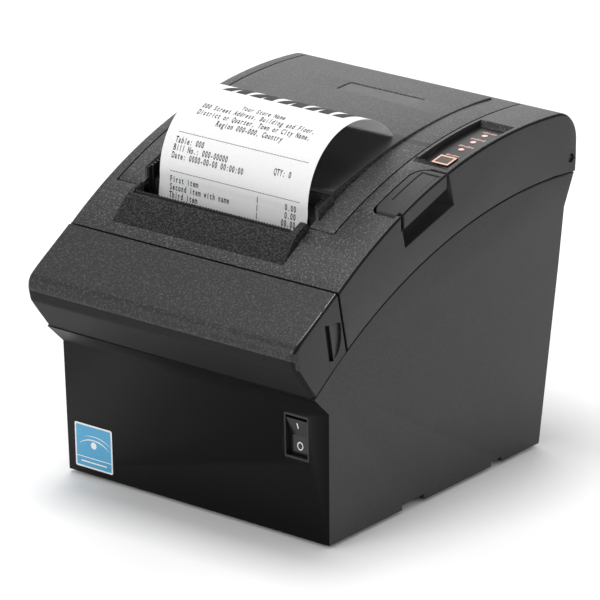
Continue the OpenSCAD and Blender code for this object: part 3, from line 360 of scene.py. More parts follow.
HALF_W = (cad_box[1][0] - cad_box[0][0]) / 2 / MM
DRAFT, DRAFT_TOP = 1.4, 80
TOP_MID, TOP_R = (60, -80.7), 227.6
REAR_R, REAR_TURN = 13.7, math.radians(84.4)
REAR_MID = tuple(m + (TOP_R - REAR_R) * f(REAR_TURN) for m, f in zip(TOP_MID, (math.cos, math.sin)))
SPLIT_MID, SPLIT_R, SEAM = (66, -122.8), 241.7, 0.5
CROWN_MID, CROWN_R = (62, -140.7), 288.2
DECK_FRONT_Y, NOSE_GAP = -65, 1.5
NOSE_TOP = (-92.8, 93.6)
NOSE_TIP = (-94.5, 90.3)
NOSE_UNDER = (-92.6, 83.3)
NOSE_HEEL = (-82, 68.3)
NOSE_JOINT = (-60.3, 83.2)
HINGE_AT = (89.9, 124.3)
LID_FRONT_Y, LID_REAR_Y = -41.2, 80
BAY = (-66.85, 50.85)
PANEL_X0 = 52.4
RECESS_X0, RECESS_BACK_X, RECESS_Y0, RECESS_Y1 = 62, 63.5, -25, 11
GROOVE_X0, GROOVE_Y0, GROOVE_Y1 = 51, -17.6, 3.6
FRONT_PANEL_Y, NOSE_UNDER_Y, CROWN_SHADE_Y = -72.2, -76, 22.9
ON_SURFACE, SQUARE = 0.1, 0.9


def arc_z(mid, r, y):
    return mid[1] + math.sqrt(r * r - (y - mid[0]) ** 2)


def top_z(y, drop=0):
    return arc_z(TOP_MID, TOP_R - drop, y)


def from_skin(y, z):
    """How far a point lies inside the casing's top and rear skin."""
    if y > REAR_MID[0] + REAR_R * math.cos(REAR_TURN):
        return REAR_R - math.hypot(y - REAR_MID[0], z - REAR_MID[1])
    return TOP_R - math.hypot(y - TOP_MID[0], z - TOP_MID[1])


def from_split(y, z):
    """How far a point lies above the seam between the two cases."""
    return math.hypot(y - SPLIT_MID[0], z - SPLIT_MID[1]) - SPLIT_R


def lean(z):
    """How far the side leans in at height z."""
    return DRAFT * max(0, DRAFT_TOP - z) / (DRAFT_TOP + 1)


# ---------- mesh helpers ----------

def add_mesh(name, verts, faces, body, material, slot):
    mesh = bpy.data.meshes.new(name)
    mesh.from_pydata([mm(*v) for v in verts], [], faces)
    return add_piece(name, mesh, body, material)


def add_piece(name, mesh, body, material):
    piece = linked(name, mesh)
    wear(piece, material)
    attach(piece, body)
    return piece


def smooth(mesh, angle=30):
    for polygon in mesh.polygons:
        polygon.use_smooth = True
    mesh.set_sharp_from_angle(angle=math.radians(angle))


def evaluated_mesh(data, set_up=None):
    """The mesh of an object that holds data, after the modifiers that set_up adds."""
    holder = linked("holder", data)
    if set_up:
        set_up(holder)
    bpy.context.view_layer.update()
    evaluated = holder.evaluated_get(bpy.context.evaluated_depsgraph_get())
    mesh = bpy.data.meshes.new_from_object(evaluated)
    bpy.data.objects.remove(holder)
    return mesh


def prism_faces(n):
    """The faces of a prism on an outline of n points, its two ends first."""
    ends = [tuple(range(n)), tuple(range(2 * n - 1, n - 1, -1))]
    return ends + [(i, i + n, (i + 1) % n + n, (i + 1) % n) for i in range(n)]


def solid(outline_points, x0, x1):
    """A mesh between x0 and x1 with the given [y, z] outline."""
    mesh = bpy.data.meshes.new("solid")
    verts = [mm(x, y, z) for x in (x0, x1) for y, z in outline_points]
    mesh.from_pydata(verts, [], prism_faces(len(outline_points)))
    outward(mesh)
    return mesh


def slab(points, y0, y1):
    """The verts and faces of an upright plate with the given [x, z] outline."""
    return [(x, y, z) for y in (y0, y1) for x, z in points], prism_faces(len(points))


def strip_faces(rows, base=0):
    """The quads of a strip whose points come in pairs, a pair to a row."""
    starts = range(base, base + 2 * rows, 2)
    return [(i, i + 1, i + 3, i + 2) for i in starts]


def loop_faces(n):
    """The quads between two closed outlines of n points each."""
    return [(i, (i + 1) % n, n + (i + 1) % n, n + i) for i in range(n)]


def outward(mesh):
    """Joins doubled vertices and turns the faces' normals out."""
    bm = bmesh.new()
    bm.from_mesh(mesh)
    bmesh.ops.remove_doubles(bm, verts=bm.verts, dist=1e-6)
    bmesh.ops.recalc_face_normals(bm, faces=bm.faces)
    bm.to_mesh(mesh)
    bm.free()


def cut(mesh, *tools):
    """The mesh with each tool's volume taken out of it."""
    for tool in tools:
        cutter = linked("cutter", tool)

        def set_up(holder):
            modifier = holder.modifiers.new("cut", "BOOLEAN")
            modifier.operation = "DIFFERENCE"
            modifier.solver = "EXACT"
            modifier.object = cutter
        mesh = evaluated_mesh(mesh, set_up)
        bpy.data.objects.remove(cutter)
    return mesh


BEVEL_SEGMENTS, LEAST_TURN = 4, math.radians(25)


def rounded_copy(node, radius_at, widest):
    """The node's mesh with its edges rounded by radius_at(middle, normals), all in millimetres."""
    bm = bmesh.new()
    bm.from_mesh(NODES[node].data)
    bmesh.ops.remove_doubles(bm, verts=bm.verts, dist=2e-6)
    bmesh.ops.dissolve_limit(bm, angle_limit=math.radians(0.2), verts=bm.verts, edges=bm.edges)
    weight = bm.edges.layers.float.new("bevel_weight_edge")
    for edge in bm.edges:
        if len(edge.link_faces) != 2 or not edge.is_convex or edge.calc_face_angle() < LEAST_TURN:
            continue
        middle = (edge.verts[0].co + edge.verts[1].co) / 2 / MM
        edge[weight] = radius_at(middle, [f.normal for f in edge.link_faces]) / widest
    mesh = bpy.data.meshes.new(node)
    bm.to_mesh(mesh)
    bm.free()

    def set_up(holder):
        modifier = holder.modifiers.new("edges", "BEVEL")
        modifier.limit_method = "WEIGHT"
        modifier.width = widest * MM
        modifier.segments = BEVEL_SEGMENTS
        modifier.use_clamp_overlap = False
    mesh = evaluated_mesh(mesh, set_up)
    smooth(mesh)
    return mesh


def stand_in(node, mesh, body, material, **patches):
    """Puts a finished mesh in a CAD node's place.

    Each patch is a material's name with a test of a face's middle and normal. The first test that
    holds gives the face its material.
    """
    piece = add_piece(node + "_shell", mesh, body, material)
    for index, (patch, picks) in enumerate(patches.items(), 1):
        mesh.materials.append(MATERIALS[patch])
        for polygon in mesh.polygons:
            if polygon.material_index == 0 and picks(polygon.center / MM, polygon.normal):
                polygon.material_index = index
    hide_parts(node)
    return piece


def slot_of(node):
    """The material slot that the record gives a node."""
    return next(row["material_slot"] for row in frame["record"]["subparts"] if row["node"] == node)


# ---------- casing ----------

CREASE, LIP, FINE, CORNER = 1.4, 0.35, 0.12, 1.0
HINGE_CLEAR, SKIN_SLACK, SIDE_SLACK = 4, 0.08, 0.05


def casing_edge(middle, normals):
    x, y, z = middle
    at_side = abs(x) > HALF_W - lean(z) - SIDE_SLACK
    on_top = abs(from_skin(y, z)) < SKIN_SLACK
    if at_side and on_top:
        return CREASE
    off_hinge = math.hypot(y - HINGE_AT[0], z - HINGE_AT[1]) > HINGE_CLEAR
    if at_side and off_hinge and y < LID_REAR_Y:
        return LIP
    return FINE if on_top and not at_side else 0


def lower_edge(middle, normals):
    x, y, z = middle
    at_side = abs(x) > HALF_W - lean(z) - SIDE_SLACK
    upright = max(abs(n.z) for n in normals) < 0.5
    front_corner = y < -72 and z < 60
    if at_side and (front_corner or y > 60):
        return CORNER
    if at_side or z < 2:
        return LIP
    return FINE if upright and y < -72 else 0


def in_case_gap(middle, normal):
    """Faces that line the gaps round the lid, the nose and the lever's finger recess, where shade
    falls; they are given painted shade, a near-black colour.
    """
    x, y, z = middle
    faces_side, faces_front = abs(normal.x) > SQUARE, normal.y < -SQUARE
    beside_lid = BAY[0] - 0.5 < x < BAY[1] + 0.5 and faces_side and y > LID_FRONT_Y - 1
    before_lid = BAY[0] < x < BAY[1] and abs(y - LID_FRONT_Y) < 0.8 and abs(normal.y) > SQUARE
    behind_nose = faces_front and y < DECK_FRONT_Y + 6
    over_seam = normal.z < -0.3 and abs(from_split(y, z) - SEAM) < ON_SURFACE
    recess_plan = x > RECESS_X0 and RECESS_Y0 < y < RECESS_Y1
    in_recess = recess_plan and not faces_side and from_skin(y, z) > 1.5
    recess_back = abs(x - RECESS_BACK_X) < 0.2 and faces_side
    panel_wall = abs(x - PANEL_X0) < 0.3 and faces_side
    round_lid = beside_lid or before_lid or panel_wall
    return round_lid or behind_nose or over_seam or in_recess or recess_back


# Painted shade: the lower case's faces in the seam under the upper case are made near black.
def in_lower_gap(middle, normal):
    x, y, z = middle
    return normal.z > 0.3 and y < 90 and abs(from_split(y, z)) < ON_SURFACE


def on_side(middle, normal):
    return abs(normal.x) > SQUARE


def on_crease(middle, normal):
    """The rounded edge between the top skin and the sides, which is given painted shade: near black
    and dull, for the dark band that the rounding reflects.
    """
    return 0.35 < abs(normal.x) < 0.94 and normal.z > 0.2 and abs(middle.x) > HALF_W - 2.2


# The front panel's faces, which get the smooth front material and its painted shade.
def on_front_panel(middle, normal):
    return middle.y < FRONT_PANEL_Y and normal.y < -0.2


def build_casing():
    stand_in("upper_case", rounded_copy("upper_case", casing_edge, CREASE), "root", "casing",
             gap_black=in_case_gap, casing_side=on_side, crease=on_crease)
    stand_in("lower_case", rounded_copy("lower_case", lower_edge, CORNER), "root", "casing_side",
             gap_black=in_lower_gap, front_black=on_front_panel)


# ---------- nose cover ----------

def filleted(points, radii, steps=10):
    """Points of an open line with its inner corners rounded."""
    line = [Vector(points[0])]
    for before, corner, after, radius in zip(points, points[1:], points[2:], radii):
        before, corner, after = Vector(before), Vector(corner), Vector(after)
        into, out = (before - corner).normalized(), (after - corner).normalized()
        half = into.angle(out) / 2
        start = corner + into * radius / math.tan(half)
        end = corner + out * radius / math.tan(half)
        middle = corner + (into + out).normalized() * radius / math.sin(half)
        for i in range(steps + 1):
            arm = (start - middle).lerp(end - middle, i / steps).normalized() * radius
            line.append(middle + arm)
    line.append(Vector(points[-1]))
    return line


def seam_point(y):
    return Vector((y, arc_z(SPLIT_MID, SPLIT_R + SEAM, y)))


def meeting(a, b, c, d):
    """Where the line through a and b crosses the line through c and d."""
    a, b, c, d = (Vector(p) for p in (a, b, c, d))
    ab, cd = b - a, d - c
    return a + ab * ((c - a).cross(cd) / ab.cross(cd))


NOSE_FILLETS, NOSE_STEP, NOSE_JOINT_GAP = (6.5, 5), 2.5, 1.3
END_STEPS, TIP_EXTRA, TIP_SPREAD, UNDER_EXTRA = 12, 1.6, 7, 0.6
NOSE_WALL = 2.4


def nose_outline():
    """The front run of the nose's outline, with its closing run along the seam."""
    rear_top = Vector((DECK_FRONT_Y - NOSE_GAP, top_z(DECK_FRONT_Y) - 0.1))
    corner = meeting(rear_top, NOSE_TOP, NOSE_UNDER, NOSE_TIP)
    heel = seam_point(NOSE_HEEL[0])
    line = filleted([rear_top, corner, NOSE_UNDER, heel], NOSE_FILLETS)
    front = []
    for a, b in zip(line, line[1:]):
        n = max(1, round((b - a).length / NOSE_STEP))
        front += [a.lerp(b, i / n) for i in range(n)]
    front.append(line[-1])
    y0, y1, steps = NOSE_HEEL[0], NOSE_JOINT[0] - NOSE_JOINT_GAP, 16
    closing = [seam_point(y0 + (y1 - y0) * i / steps) for i in range(1, steps + 1)]
    return front, closing


def nose_edge_radii(front):
    """The radius of the nose's end edge at each point of its front run, largest at the tip."""
    run = [0]
    for a, b in zip(front, front[1:]):
        run.append(run[-1] + (b - a).length)
    tip = min(range(len(front)), key=lambda i: front[i][0])
    radii = []
    for i in range(len(front)):
        near = math.exp(-((run[i] - run[tip]) / TIP_SPREAD) ** 2)
        radii.append(CREASE + TIP_EXTRA * near + (UNDER_EXTRA * (1 - near) if i > tip else 0))
    return radii


def nose_shell():
    """The nose: its outline rounded along the front, and its ends rounded into the sides."""
    front, closing = nose_outline()
    normals = []
    for i in range(len(front)):
        tangent = (front[min(i + 1, len(front) - 1)] - front[max(i - 1, 0)]).normalized()
        normals.append(Vector((tangent[1], -tangent[0])))
    normals[0] = (front[0] - closing[-1]).normalized()
    normals[-1] = -(closing[0] - front[-1]).normalized()
    outline = front + closing
    radii = nose_edge_radii(front) + [0] * len(closing)
    normals += [Vector((0, 0))] * len(closing)

    verts, faces = [], []
    for side in (-1, 1):
        for k in range(END_STEPS + 1):
            turn = math.pi / 2 * (1 - k / END_STEPS if side < 0 else k / END_STEPS)
            for point, normal, radius in zip(outline, normals, radii):
                y, z = point - normal * radius * (1 - math.cos(turn))
                x = HALF_W - lean(z) - radius * (1 - math.sin(turn))
                verts.append((side * x, y, z))
    n, rings = len(outline), 2 * (END_STEPS + 1)
    for ring_at in range(0, (rings - 1) * n, n):
        for i in range(n):
            j = (i + 1) % n
            faces.append((ring_at + i, ring_at + j, ring_at + n + j, ring_at + n + i))
    faces.append(tuple(range(n)))
    faces.append(tuple(range(rings * n - 1, (rings - 1) * n - 1, -1)))
    mesh = bpy.data.meshes.new("nose")
    mesh.from_pydata([mm(*v) for v in verts], [], faces)
    outward(mesh)
    hollow = [(DECK_FRONT_Y + 5, 109.6), (-90.6, 92.2), (-92, 90), (-90.4, 83.9), (-80.2, 71.5),
              (-40, 80)]
    inside = solid(hollow, -HALF_W + NOSE_WALL, HALF_W - NOSE_WALL)
    grips = [part(side) for side in (-1, 1) for part in (grip_slot, grip_scoop)]
    mesh = cut(mesh, inside, *grips)
    smooth(mesh, 28)
    return mesh


GRIP_TOP, GRIP_FOOT, GRIP_WIDE = Vector((-74.8, 98.2)), Vector((-72.3, 82.2)), 2.8
GRIP_ACROSS, SLOT_DEEP, SCOOP_DEEP, SCOOP_REACH = Vector((GRIP_WIDE, -0.6)), 1.7, 1.0, 6.6
SCOOP_ROWS, SCOOP_COLUMNS = 12, 14


def grip_slot(side):
    """The slanted slot of the finger grip in the nose's end."""
    x0, x1 = sorted((side * (HALF_W - SLOT_DEEP), side * (HALF_W + 1)))
    outline = [GRIP_TOP, GRIP_TOP + GRIP_ACROSS, GRIP_FOOT + GRIP_ACROSS, GRIP_FOOT]
    return solid(outline, x0, x1)


def scoop_width(t):
    """The scoop's reach at a share t of the grip's length, along a rounded outline."""
    bow = math.sqrt(max(0.0, 1 - (1.12 * t - 0.12) ** 2))
    return SCOOP_REACH * bow * (0.25 + 0.75 * min(1, t * 8 + 0.55))


def grip_scoop(side):
    """The scoop behind the slot, which deepens towards its rounded rear edge."""
    line = (GRIP_FOOT - GRIP_TOP).normalized()
    normal = Vector((-line[1], line[0]))
    length = (GRIP_FOOT - GRIP_TOP).length
    top = GRIP_TOP + GRIP_ACROSS * 1.14
    floor, lid = [], []
    for i in range(SCOOP_ROWS + 1):
        t = i / SCOOP_ROWS
        for j in range(SCOOP_COLUMNS + 1):
            u = j / SCOOP_COLUMNS
            y, z = top + line * length * (0.04 + 0.9 * t) + normal * scoop_width(t) * u
            depth = 0.03 + SCOOP_DEEP * u * min(1.0, 4 * (1 - t) + 0.15)
            floor.append((side * (HALF_W - depth), y, z))
            lid.append((side * (HALF_W + 1), y, z))

    def at(i, j, layer=0):
        return layer * len(floor) + i * (SCOOP_COLUMNS + 1) + j
    faces = [(at(i, j, layer), at(i + 1, j, layer), at(i + 1, j + 1, layer), at(i, j + 1, layer))
             for layer in (0, 1) for i in range(SCOOP_ROWS) for j in range(SCOOP_COLUMNS)]
    rim = [(i, 0) for i in range(SCOOP_ROWS)] + [(SCOOP_ROWS, j) for j in range(SCOOP_COLUMNS)]
    rim += [(i, SCOOP_COLUMNS) for i in range(SCOOP_ROWS, 0, -1)]
    rim += [(0, j) for j in range(SCOOP_COLUMNS, 0, -1)]
    faces += [(at(*a), at(*b), at(*b, 1), at(*a, 1)) for a, b in zip(rim, rim[1:] + rim[:1])]
    mesh = bpy.data.meshes.new("scoop")
    mesh.from_pydata([mm(*v) for v in floor + lid], [], faces)
    outward(mesh)
    return mesh


def in_grip_slot(middle, normal):
    slot = GRIP_FOOT - GRIP_TOP
    along = (middle.yz - GRIP_TOP).dot(slot.normalized()) / slot.length
    across = middle.y - GRIP_TOP.lerp(GRIP_FOOT, along)[0]
    return -0.1 < across < GRIP_WIDE + 0.1 and HALF_W - 2 < abs(middle.x) < HALF_W - 0.4


# Painted shade: the nose's rear faces at the gap to the deck and the walls of its grip slots are
# made near black.
def in_nose_shade(middle, normal):
    behind = normal.y > 0.8 and middle.y > DECK_FRONT_Y - 3
    return behind or in_grip_slot(middle, normal)


def on_nose_edge(middle, normal):
    """The rounded edge between the nose's top and its ends, where the mould is polished."""
    return 0.12 < abs(normal.x) < 0.5 and normal.z > 0.2


# Painted shade: the nose's downward-facing slope gets the darker copy of the nose material.
def under_nose(middle, normal):
    return normal.z < -0.15 and middle.y < NOSE_UNDER_Y


def build_nose():
    stand_in("cutter_cover", nose_shell(), "nose", "nose",
             gap_black=in_nose_shade, nose_under=under_nose, polished_edge=on_nose_edge,
             crease=on_crease, smooth_end=on_side)


# ---------- cover and lever ----------

CROWN_EDGE, CREST_EDGE, LEVER_CREASE, LEVER_LIP, LID_SLACK = 0.9, 0.5, 1.1, 0.5, 0.3


def crown_drop(y, z):
    return CROWN_R - math.hypot(y - CROWN_MID[0], z - CROWN_MID[1])


def cover_edge(middle, normals):
    x, y, z = middle
    if abs(crown_drop(y, z)) < SKIN_SLACK and y < LID_REAR_Y:
        return CROWN_EDGE if y < -26 else CREST_EDGE
    if abs(from_skin(y, z)) < SKIN_SLACK:
        return FINE
    return 0.2 if z > 118 and y < -25 else 0


def lever_edge(middle, normals):
    x, y, z = middle
    on_top = abs(from_skin(y, z)) < SKIN_SLACK
    if x > HALF_W - SIDE_SLACK:
        return LEVER_CREASE if on_top else LEVER_LIP
    return LIP if on_top else 0


# Painted shade: the lid's faces along its gaps to the casing, at the sides and the front, are made
# near black.
def in_lid_gap(middle, normal):
    x, y, z = middle
    beside = abs(normal.x) > SQUARE and min(abs(x - BAY[0]), abs(x - BAY[1])) < 0.8
    before = normal.y < -SQUARE and abs(y - LID_FRONT_Y) < 0.3 and from_skin(y, z) > -0.2
    return beside or before


def on_crown(middle, normal):
    """The part of the crown that the guide walls and the paper's curl overhang, given painted
    shadow: the black trim colour where their shadow falls.
    """
    return abs(crown_drop(middle.y, middle.z)) < 1 and middle.y < CROWN_SHADE_Y


# Painted shade: the faces in the lever's groove are made near black.
def in_lever_groove(middle, normal):
    x, y, z = middle
    in_plan = GROOVE_X0 < x < HALF_W - 2 and GROOVE_Y0 < y < GROOVE_Y1
    return in_plan and 0.12 < from_skin(y, z) < 1.2


def lid_copy():
    """The lid with its gaps to the casing opened a little at the sides and the front."""
    mesh = rounded_copy("paper_cover", cover_edge, CROWN_EDGE)
    low, high = (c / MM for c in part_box("paper_cover"))
    for vertex in mesh.vertices:
        x, y, z = vertex.co / MM
        if x > high[0] - 0.2 and y < 84:
            vertex.co.x -= LID_SLACK * MM
        if x < low[0] + 0.2 and y < 84:
            vertex.co.x += LID_SLACK * MM
        if y < low[1] + 0.2:
            vertex.co.y += LID_SLACK * MM
    return mesh


def build_cover():
    stand_in("paper_cover", lid_copy(), "cover", "casing", gap_black=in_lid_gap, trim=on_crown)
    lever = rounded_copy("cover_open_lever", lever_edge, LEVER_CREASE)
    smooth(lever, 4)
    stand_in("cover_open_lever", lever, "lever", "smooth_end",
             gap_black=in_lever_groove, casing_side=on_side, crease=on_crease)


# ---------- guard and tear bar ----------

GUARD_TOP_Z, GUARD_EDGE, GUARD_WASTE_Y, GUARD_WASTE_TOP_Z = 122.7, 0.8, (-56, -40), 128
TEETH, TOOTH_H, TOOTH_TIP_Z = 56, 0.7, 123.9


def guard_edge(middle, normals):
    x, y, z = middle
    return GUARD_EDGE if 121 < z < 123 and y < -44 else LIP


def build_guard():
    """The guard, with its edge before the slot lowered so that the tear bar's teeth show."""
    low, high = (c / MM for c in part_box("tear_bar"))
    y0, y1 = GUARD_WASTE_Y
    waste = [(y0, GUARD_TOP_Z), (y1, GUARD_TOP_Z), (y1, GUARD_WASTE_TOP_Z), (y0, GUARD_WASTE_TOP_Z)]
    above = solid(waste, low[0] - 0.3, high[0] + 0.3)
    mesh = cut(rounded_copy("exit_guard", guard_edge, GUARD_EDGE), above)
    smooth(mesh)
    stand_in("exit_guard", mesh, "root", "guard")


def build_tear_bar():
    low, high = (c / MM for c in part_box("tear_bar"))
    pitch = (high[0] - low[0]) / TEETH
    points = [(low[0], low[2]), (high[0], low[2])]
    for i in range(TEETH):
        points += [(high[0] - i * pitch, TOOTH_TIP_Z - TOOTH_H),
                   (high[0] - (i + 0.5) * pitch, TOOTH_TIP_Z)]
    points.append((low[0], TOOTH_TIP_Z - TOOTH_H))
    bar_piece = add_mesh("tear_teeth", *slab(points, low[1], high[1]), "root", "gap_black",
                         slot_of("tear_bar"))
    outward(bar_piece.data)
    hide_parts("tear_bar")


# ---------- receipt ----------

SLIP_FOOT = Vector((-37.3, 112.5))
CURL_MID, CURL_R, CURL_GROWS, CURL_SWEEP = Vector((-5, 126.5)), 30.4, 1.4, math.radians(144.5)
PAPER_FACE, PAPER_T, PAPER_W, PAPER_MID = -0.05, 0.12, 80, -8
SLIP_ROWS, CURL_STEPS = 120, 200


def curl_point(share, lift=0.0):
    a = math.pi - share * CURL_SWEEP
    return CURL_MID + (CURL_R + CURL_GROWS * share + lift) * Vector((math.cos(a), math.sin(a)))


def slip_lengths():
    """The length of paper from the slip's foot to the curl's start and to the curl's end."""
    points = [SLIP_FOOT] + [curl_point(i / CURL_STEPS) for i in range(CURL_STEPS + 1)]
    steps = [(b - a).length for a, b in zip(points, points[1:])]
    return steps[0], sum(steps)


STRAIGHT_LENGTH, SLIP_LENGTH = slip_lengths()


def on_slip(u, s, lift):
    """The place u mm from the slip's left edge and s mm along it, lifted off its printed face."""
    if s <= STRAIGHT_LENGTH:
        y, z = SLIP_FOOT.lerp(curl_point(0), s / STRAIGHT_LENGTH)
        return (PAPER_MID - PAPER_W / 2 + u, y - lift, z)
    y, z = curl_point((s - STRAIGHT_LENGTH) / (SLIP_LENGTH - STRAIGHT_LENGTH), lift)
    return (PAPER_MID - PAPER_W / 2 + u, y, z)


GLYPHS, LETTER_WEIGHT = {}, 0.024


def glyph(letter):
    """The flat mesh of one letter, one unit tall, with its left edge at zero, and its width."""
    if letter not in GLYPHS:
        curve = bpy.data.curves.new("letter", "FONT")
        curve.body = letter
        curve.offset = LETTER_WEIGHT
        curve.resolution_u = 3
        mesh = evaluated_mesh(curve)
        verts = [tuple(v.co[:2]) for v in mesh.vertices]
        left = min(x for x, y in verts)
        width = max(x for x, y in verts) - left
        faces = [tuple(p.vertices) for p in mesh.polygons]
        GLYPHS[letter] = ([(x - left, y) for x, y in verts], faces, width)
    return GLYPHS[letter]


PITCH, LETTER_H, LETTER_SHAPE, LETTER_SPACE, INK_LIFT = 1.56, 3.8, 0.62, 0.16, -0.01


def print_line(verts, faces, text, u, s):
    """Adds a line of fixed-pitch letters that starts at u, with its foot at s along the slip."""
    for i, letter in enumerate(text):
        if letter == " ":
            continue
        points, polygons, width = glyph(letter)
        squeeze = min(LETTER_H * LETTER_SHAPE, (PITCH - LETTER_SPACE) / max(width, 0.01))
        start = u + i * PITCH + (PITCH - width * squeeze) / 2
        base = len(verts)
        verts += [on_slip(start + x * squeeze, s + y * LETTER_H, INK_LIFT) for x, y in points]
        faces += [tuple(base + k for k in p) for p in polygons]


def print_bar(verts, faces, u0, u1, s0, s1, slant=0.0):
    rows = max(1, round((s1 - s0) / 1.2))
    faces += strip_faces(rows, len(verts))
    for i in range(rows + 1):
        t = i / rows
        for u in (u0, u1):
            verts.append(on_slip(u + slant * t, s0 + (s1 - s0) * t, INK_LIFT))


MARGIN, LINE, HEADING_LINE = 5.6, 3.4, 3.75
ITEMS_AT, RULES_AT, DETAILS_AT, HEADINGS_AT, BAND_AT = 6.4, (17.8, 35.0), 23.6, 41.2, 64.5
COUNT_U, PRICE_END_U, TOTAL_U = 52.4, 74, 60
RULE_DASHES, RULE_H, RULE_SPACE = 45, 0.25, 0.12
BAND_BARS, BAND_U, BAND_STEP, BAND_H, BAND_SLANT = 9, 8, 7.4, 10, 1.5
HEADINGS = ["Your Store Name", "000 Street Address, Building and Floor,",
            "District or Quarter, Town or City Name,", "Region 000-000, Country"]
DETAILS = ["Table: 000", "Bill No.: 000-00000", "Date: 0000-00-00 00:00:00"]
ITEMS = ["First item", "Second item with name", "Third item"]


def slip_mesh():
    """The verts and faces of the bare sheet of paper."""
    verts = []
    for i in range(SLIP_ROWS + 1):
        s = SLIP_LENGTH * i / SLIP_ROWS
        for u, lift in ((0, PAPER_FACE), (PAPER_W, PAPER_FACE), (PAPER_W, -PAPER_T),
                        (0, -PAPER_T)):
            verts.append(on_slip(u, s, lift))
    faces = []
    for row in range(0, 4 * SLIP_ROWS, 4):
        for j in range(4):
            a, b = row + j, row + (j + 1) % 4
            faces.append((a, b, b + 4, a + 4))
    return verts, faces + [(3, 2, 1, 0), tuple(4 * SLIP_ROWS + j for j in range(4))]


def print_mesh():
    """The verts and faces of all that is printed on the slip, from its foot upwards."""
    verts, faces = [], []
    for i, item in enumerate(reversed(ITEMS)):
        row = ITEMS_AT + i * LINE
        price = "00.00" if i == 0 else "0.00"
        print_line(verts, faces, item, MARGIN, row)
        print_line(verts, faces, "1", COUNT_U, row)
        print_line(verts, faces, price, PRICE_END_U - PITCH * len(price), row)
    for row in RULES_AT:
        for i in range(RULE_DASHES):
            u = MARGIN + i * PITCH
            print_bar(verts, faces, u + RULE_SPACE, u + PITCH - RULE_SPACE, row, row + RULE_H)
    for i, detail in enumerate(reversed(DETAILS)):
        print_line(verts, faces, detail, MARGIN, DETAILS_AT + i * LINE)
    print_line(verts, faces, "QTY: 0", TOTAL_U, DETAILS_AT + LINE)
    for i, heading in enumerate(reversed(HEADINGS)):
        start = PAPER_W / 2 - len(heading) * PITCH / 2
        print_line(verts, faces, heading, start, HEADINGS_AT + i * HEADING_LINE)
    for i in range(BAND_BARS):
        u = BAND_U + i * BAND_STEP
        slant = BAND_SLANT - 2 * BAND_SLANT * (i % 2)
        print_bar(verts, faces, u, u + 5.2 + 0.5 * (i % 3), BAND_AT, BAND_AT + BAND_H, slant)
    return verts, faces


def build_receipt():
    slip = add_mesh("printed_slip", *slip_mesh(), "cover", "paper", slot_of("receipt_slip"))
    outward(slip.data)
    smooth(slip.data)
    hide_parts("receipt_slip")
    ink = add_mesh("slip_print", *print_mesh(), "cover", "ink", slot_of("receipt_slip"))


# ---------- printed marks ----------

def ring(corners, width):
    """Quads between an outline and the same outline grown by width, as (points, faces)."""
    middle = sum((Vector(c) for c in corners), Vector((0, 0))) / len(corners)
    outer = [tuple(c + math.copysign(width, c - m) for c, m in zip(corner, middle))
             for corner in corners]
    return corners + outer, loop_faces(len(corners))


def hoop(mid, inner, outer, stretch=1.0, n=28):
    points = [(mid[0] + r * math.cos(a), mid[1] + stretch * r * math.sin(a))
              for r in (inner, outer) for a in (2 * math.pi * i / n for i in range(n))]
    return points, loop_faces(n)


def bar(x0, x1, y0, y1, steps=1):
    points = [(x, y0 + (y1 - y0) * i / steps) for i in range(steps + 1) for x in (x0, x1)]
    return points, strip_faces(steps)


def mark(name, shapes, place, body, material, slot):
    """One piece from flat shapes, each (points, faces), put on a surface by place(a, b)."""
    verts, faces = [], []
    for points, polygons in shapes:
        base = len(verts)
        verts += [place(*point) for point in points]
        faces += [tuple(base + i for i in polygon) for polygon in polygons]
    return add_mesh(name, verts, faces, body, material, slot)


PANEL_FLOOR_DROP, OVERLAY_T, KEY_T, MARK_LIFT = 3, 0.5, 1, 0.04
KEY_INSET, KEY_BAND = 1.0, 0.85
SIGNS, SIGN_HALF_W, SIGN_LINE = 6, 0.3, 0.15


def on_panel(x, y):
    return (x, y, top_z(y, PANEL_FLOOR_DROP - OVERLAY_T) + MARK_LIFT)


def on_key(x, y):
    return (x, y, top_z(y, PANEL_FLOOR_DROP - KEY_T) + MARK_LIFT)


def sign_row(x0, x1, y, tall):
    """A row of small abstract signs across the panel."""
    step = (x1 - x0) / SIGNS
    shapes = [bar(x0, x1, y - SIGN_LINE, y + SIGN_LINE)]
    for i in range(SIGNS):
        left, mid = x0 + (i + 0.5) * step - SIGN_HALF_W, x0 + (i + 0.5) * step
        high = tall * (0.55 + 0.45 * ((i * 5 + int(y)) % 3) / 2)
        shapes.append(bar(left, mid + SIGN_HALF_W, y - high / 2, y + high / 2, 2))
        shapes.append(bar(left, mid + 0.45 * step, y + high / 2 - 0.35, y + high / 2))
    return shapes


def build_panel_marks():
    low, high = (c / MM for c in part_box("feed_button"))
    x0, x1, y0, y1 = (low[0] + KEY_INSET, high[0] - KEY_INSET, low[1] + KEY_INSET,
                      high[1] - KEY_INSET)
    button = [(x0, y0), (x1, y0), (x1, y1), (x0, y1)]
    mark("key_outline", [ring(button, KEY_BAND)], on_key, "feed_key", "mark_peach",
         slot_of("feed_button"))
    signs = sign_row(low[0] + 1.2, high[0] - 0.6, high[1] + 1.9, 1.3)
    low, high = (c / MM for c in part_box("status_lamps"))
    mid, radius = (low[0] + high[0]) / 2, (high[0] - low[0]) / 2
    for y in (low[1] + radius, (low[1] + high[1]) / 2, high[1] - radius):
        signs += sign_row(mid - 3.6, mid + 4, y + 3.1, 1.7)
    mark("panel_signs", signs, on_panel, "root", "mark_pink", slot_of("panel_overlay"))


ROCKER_AT, ROCKER_TILT = (-67.6, 45.2), math.radians(8)
ROCKER_FACE, ROCKER_BOW, ROCKER_HALF, ROCKER_INK = 2.1, 1.1, 8.1, 0.06


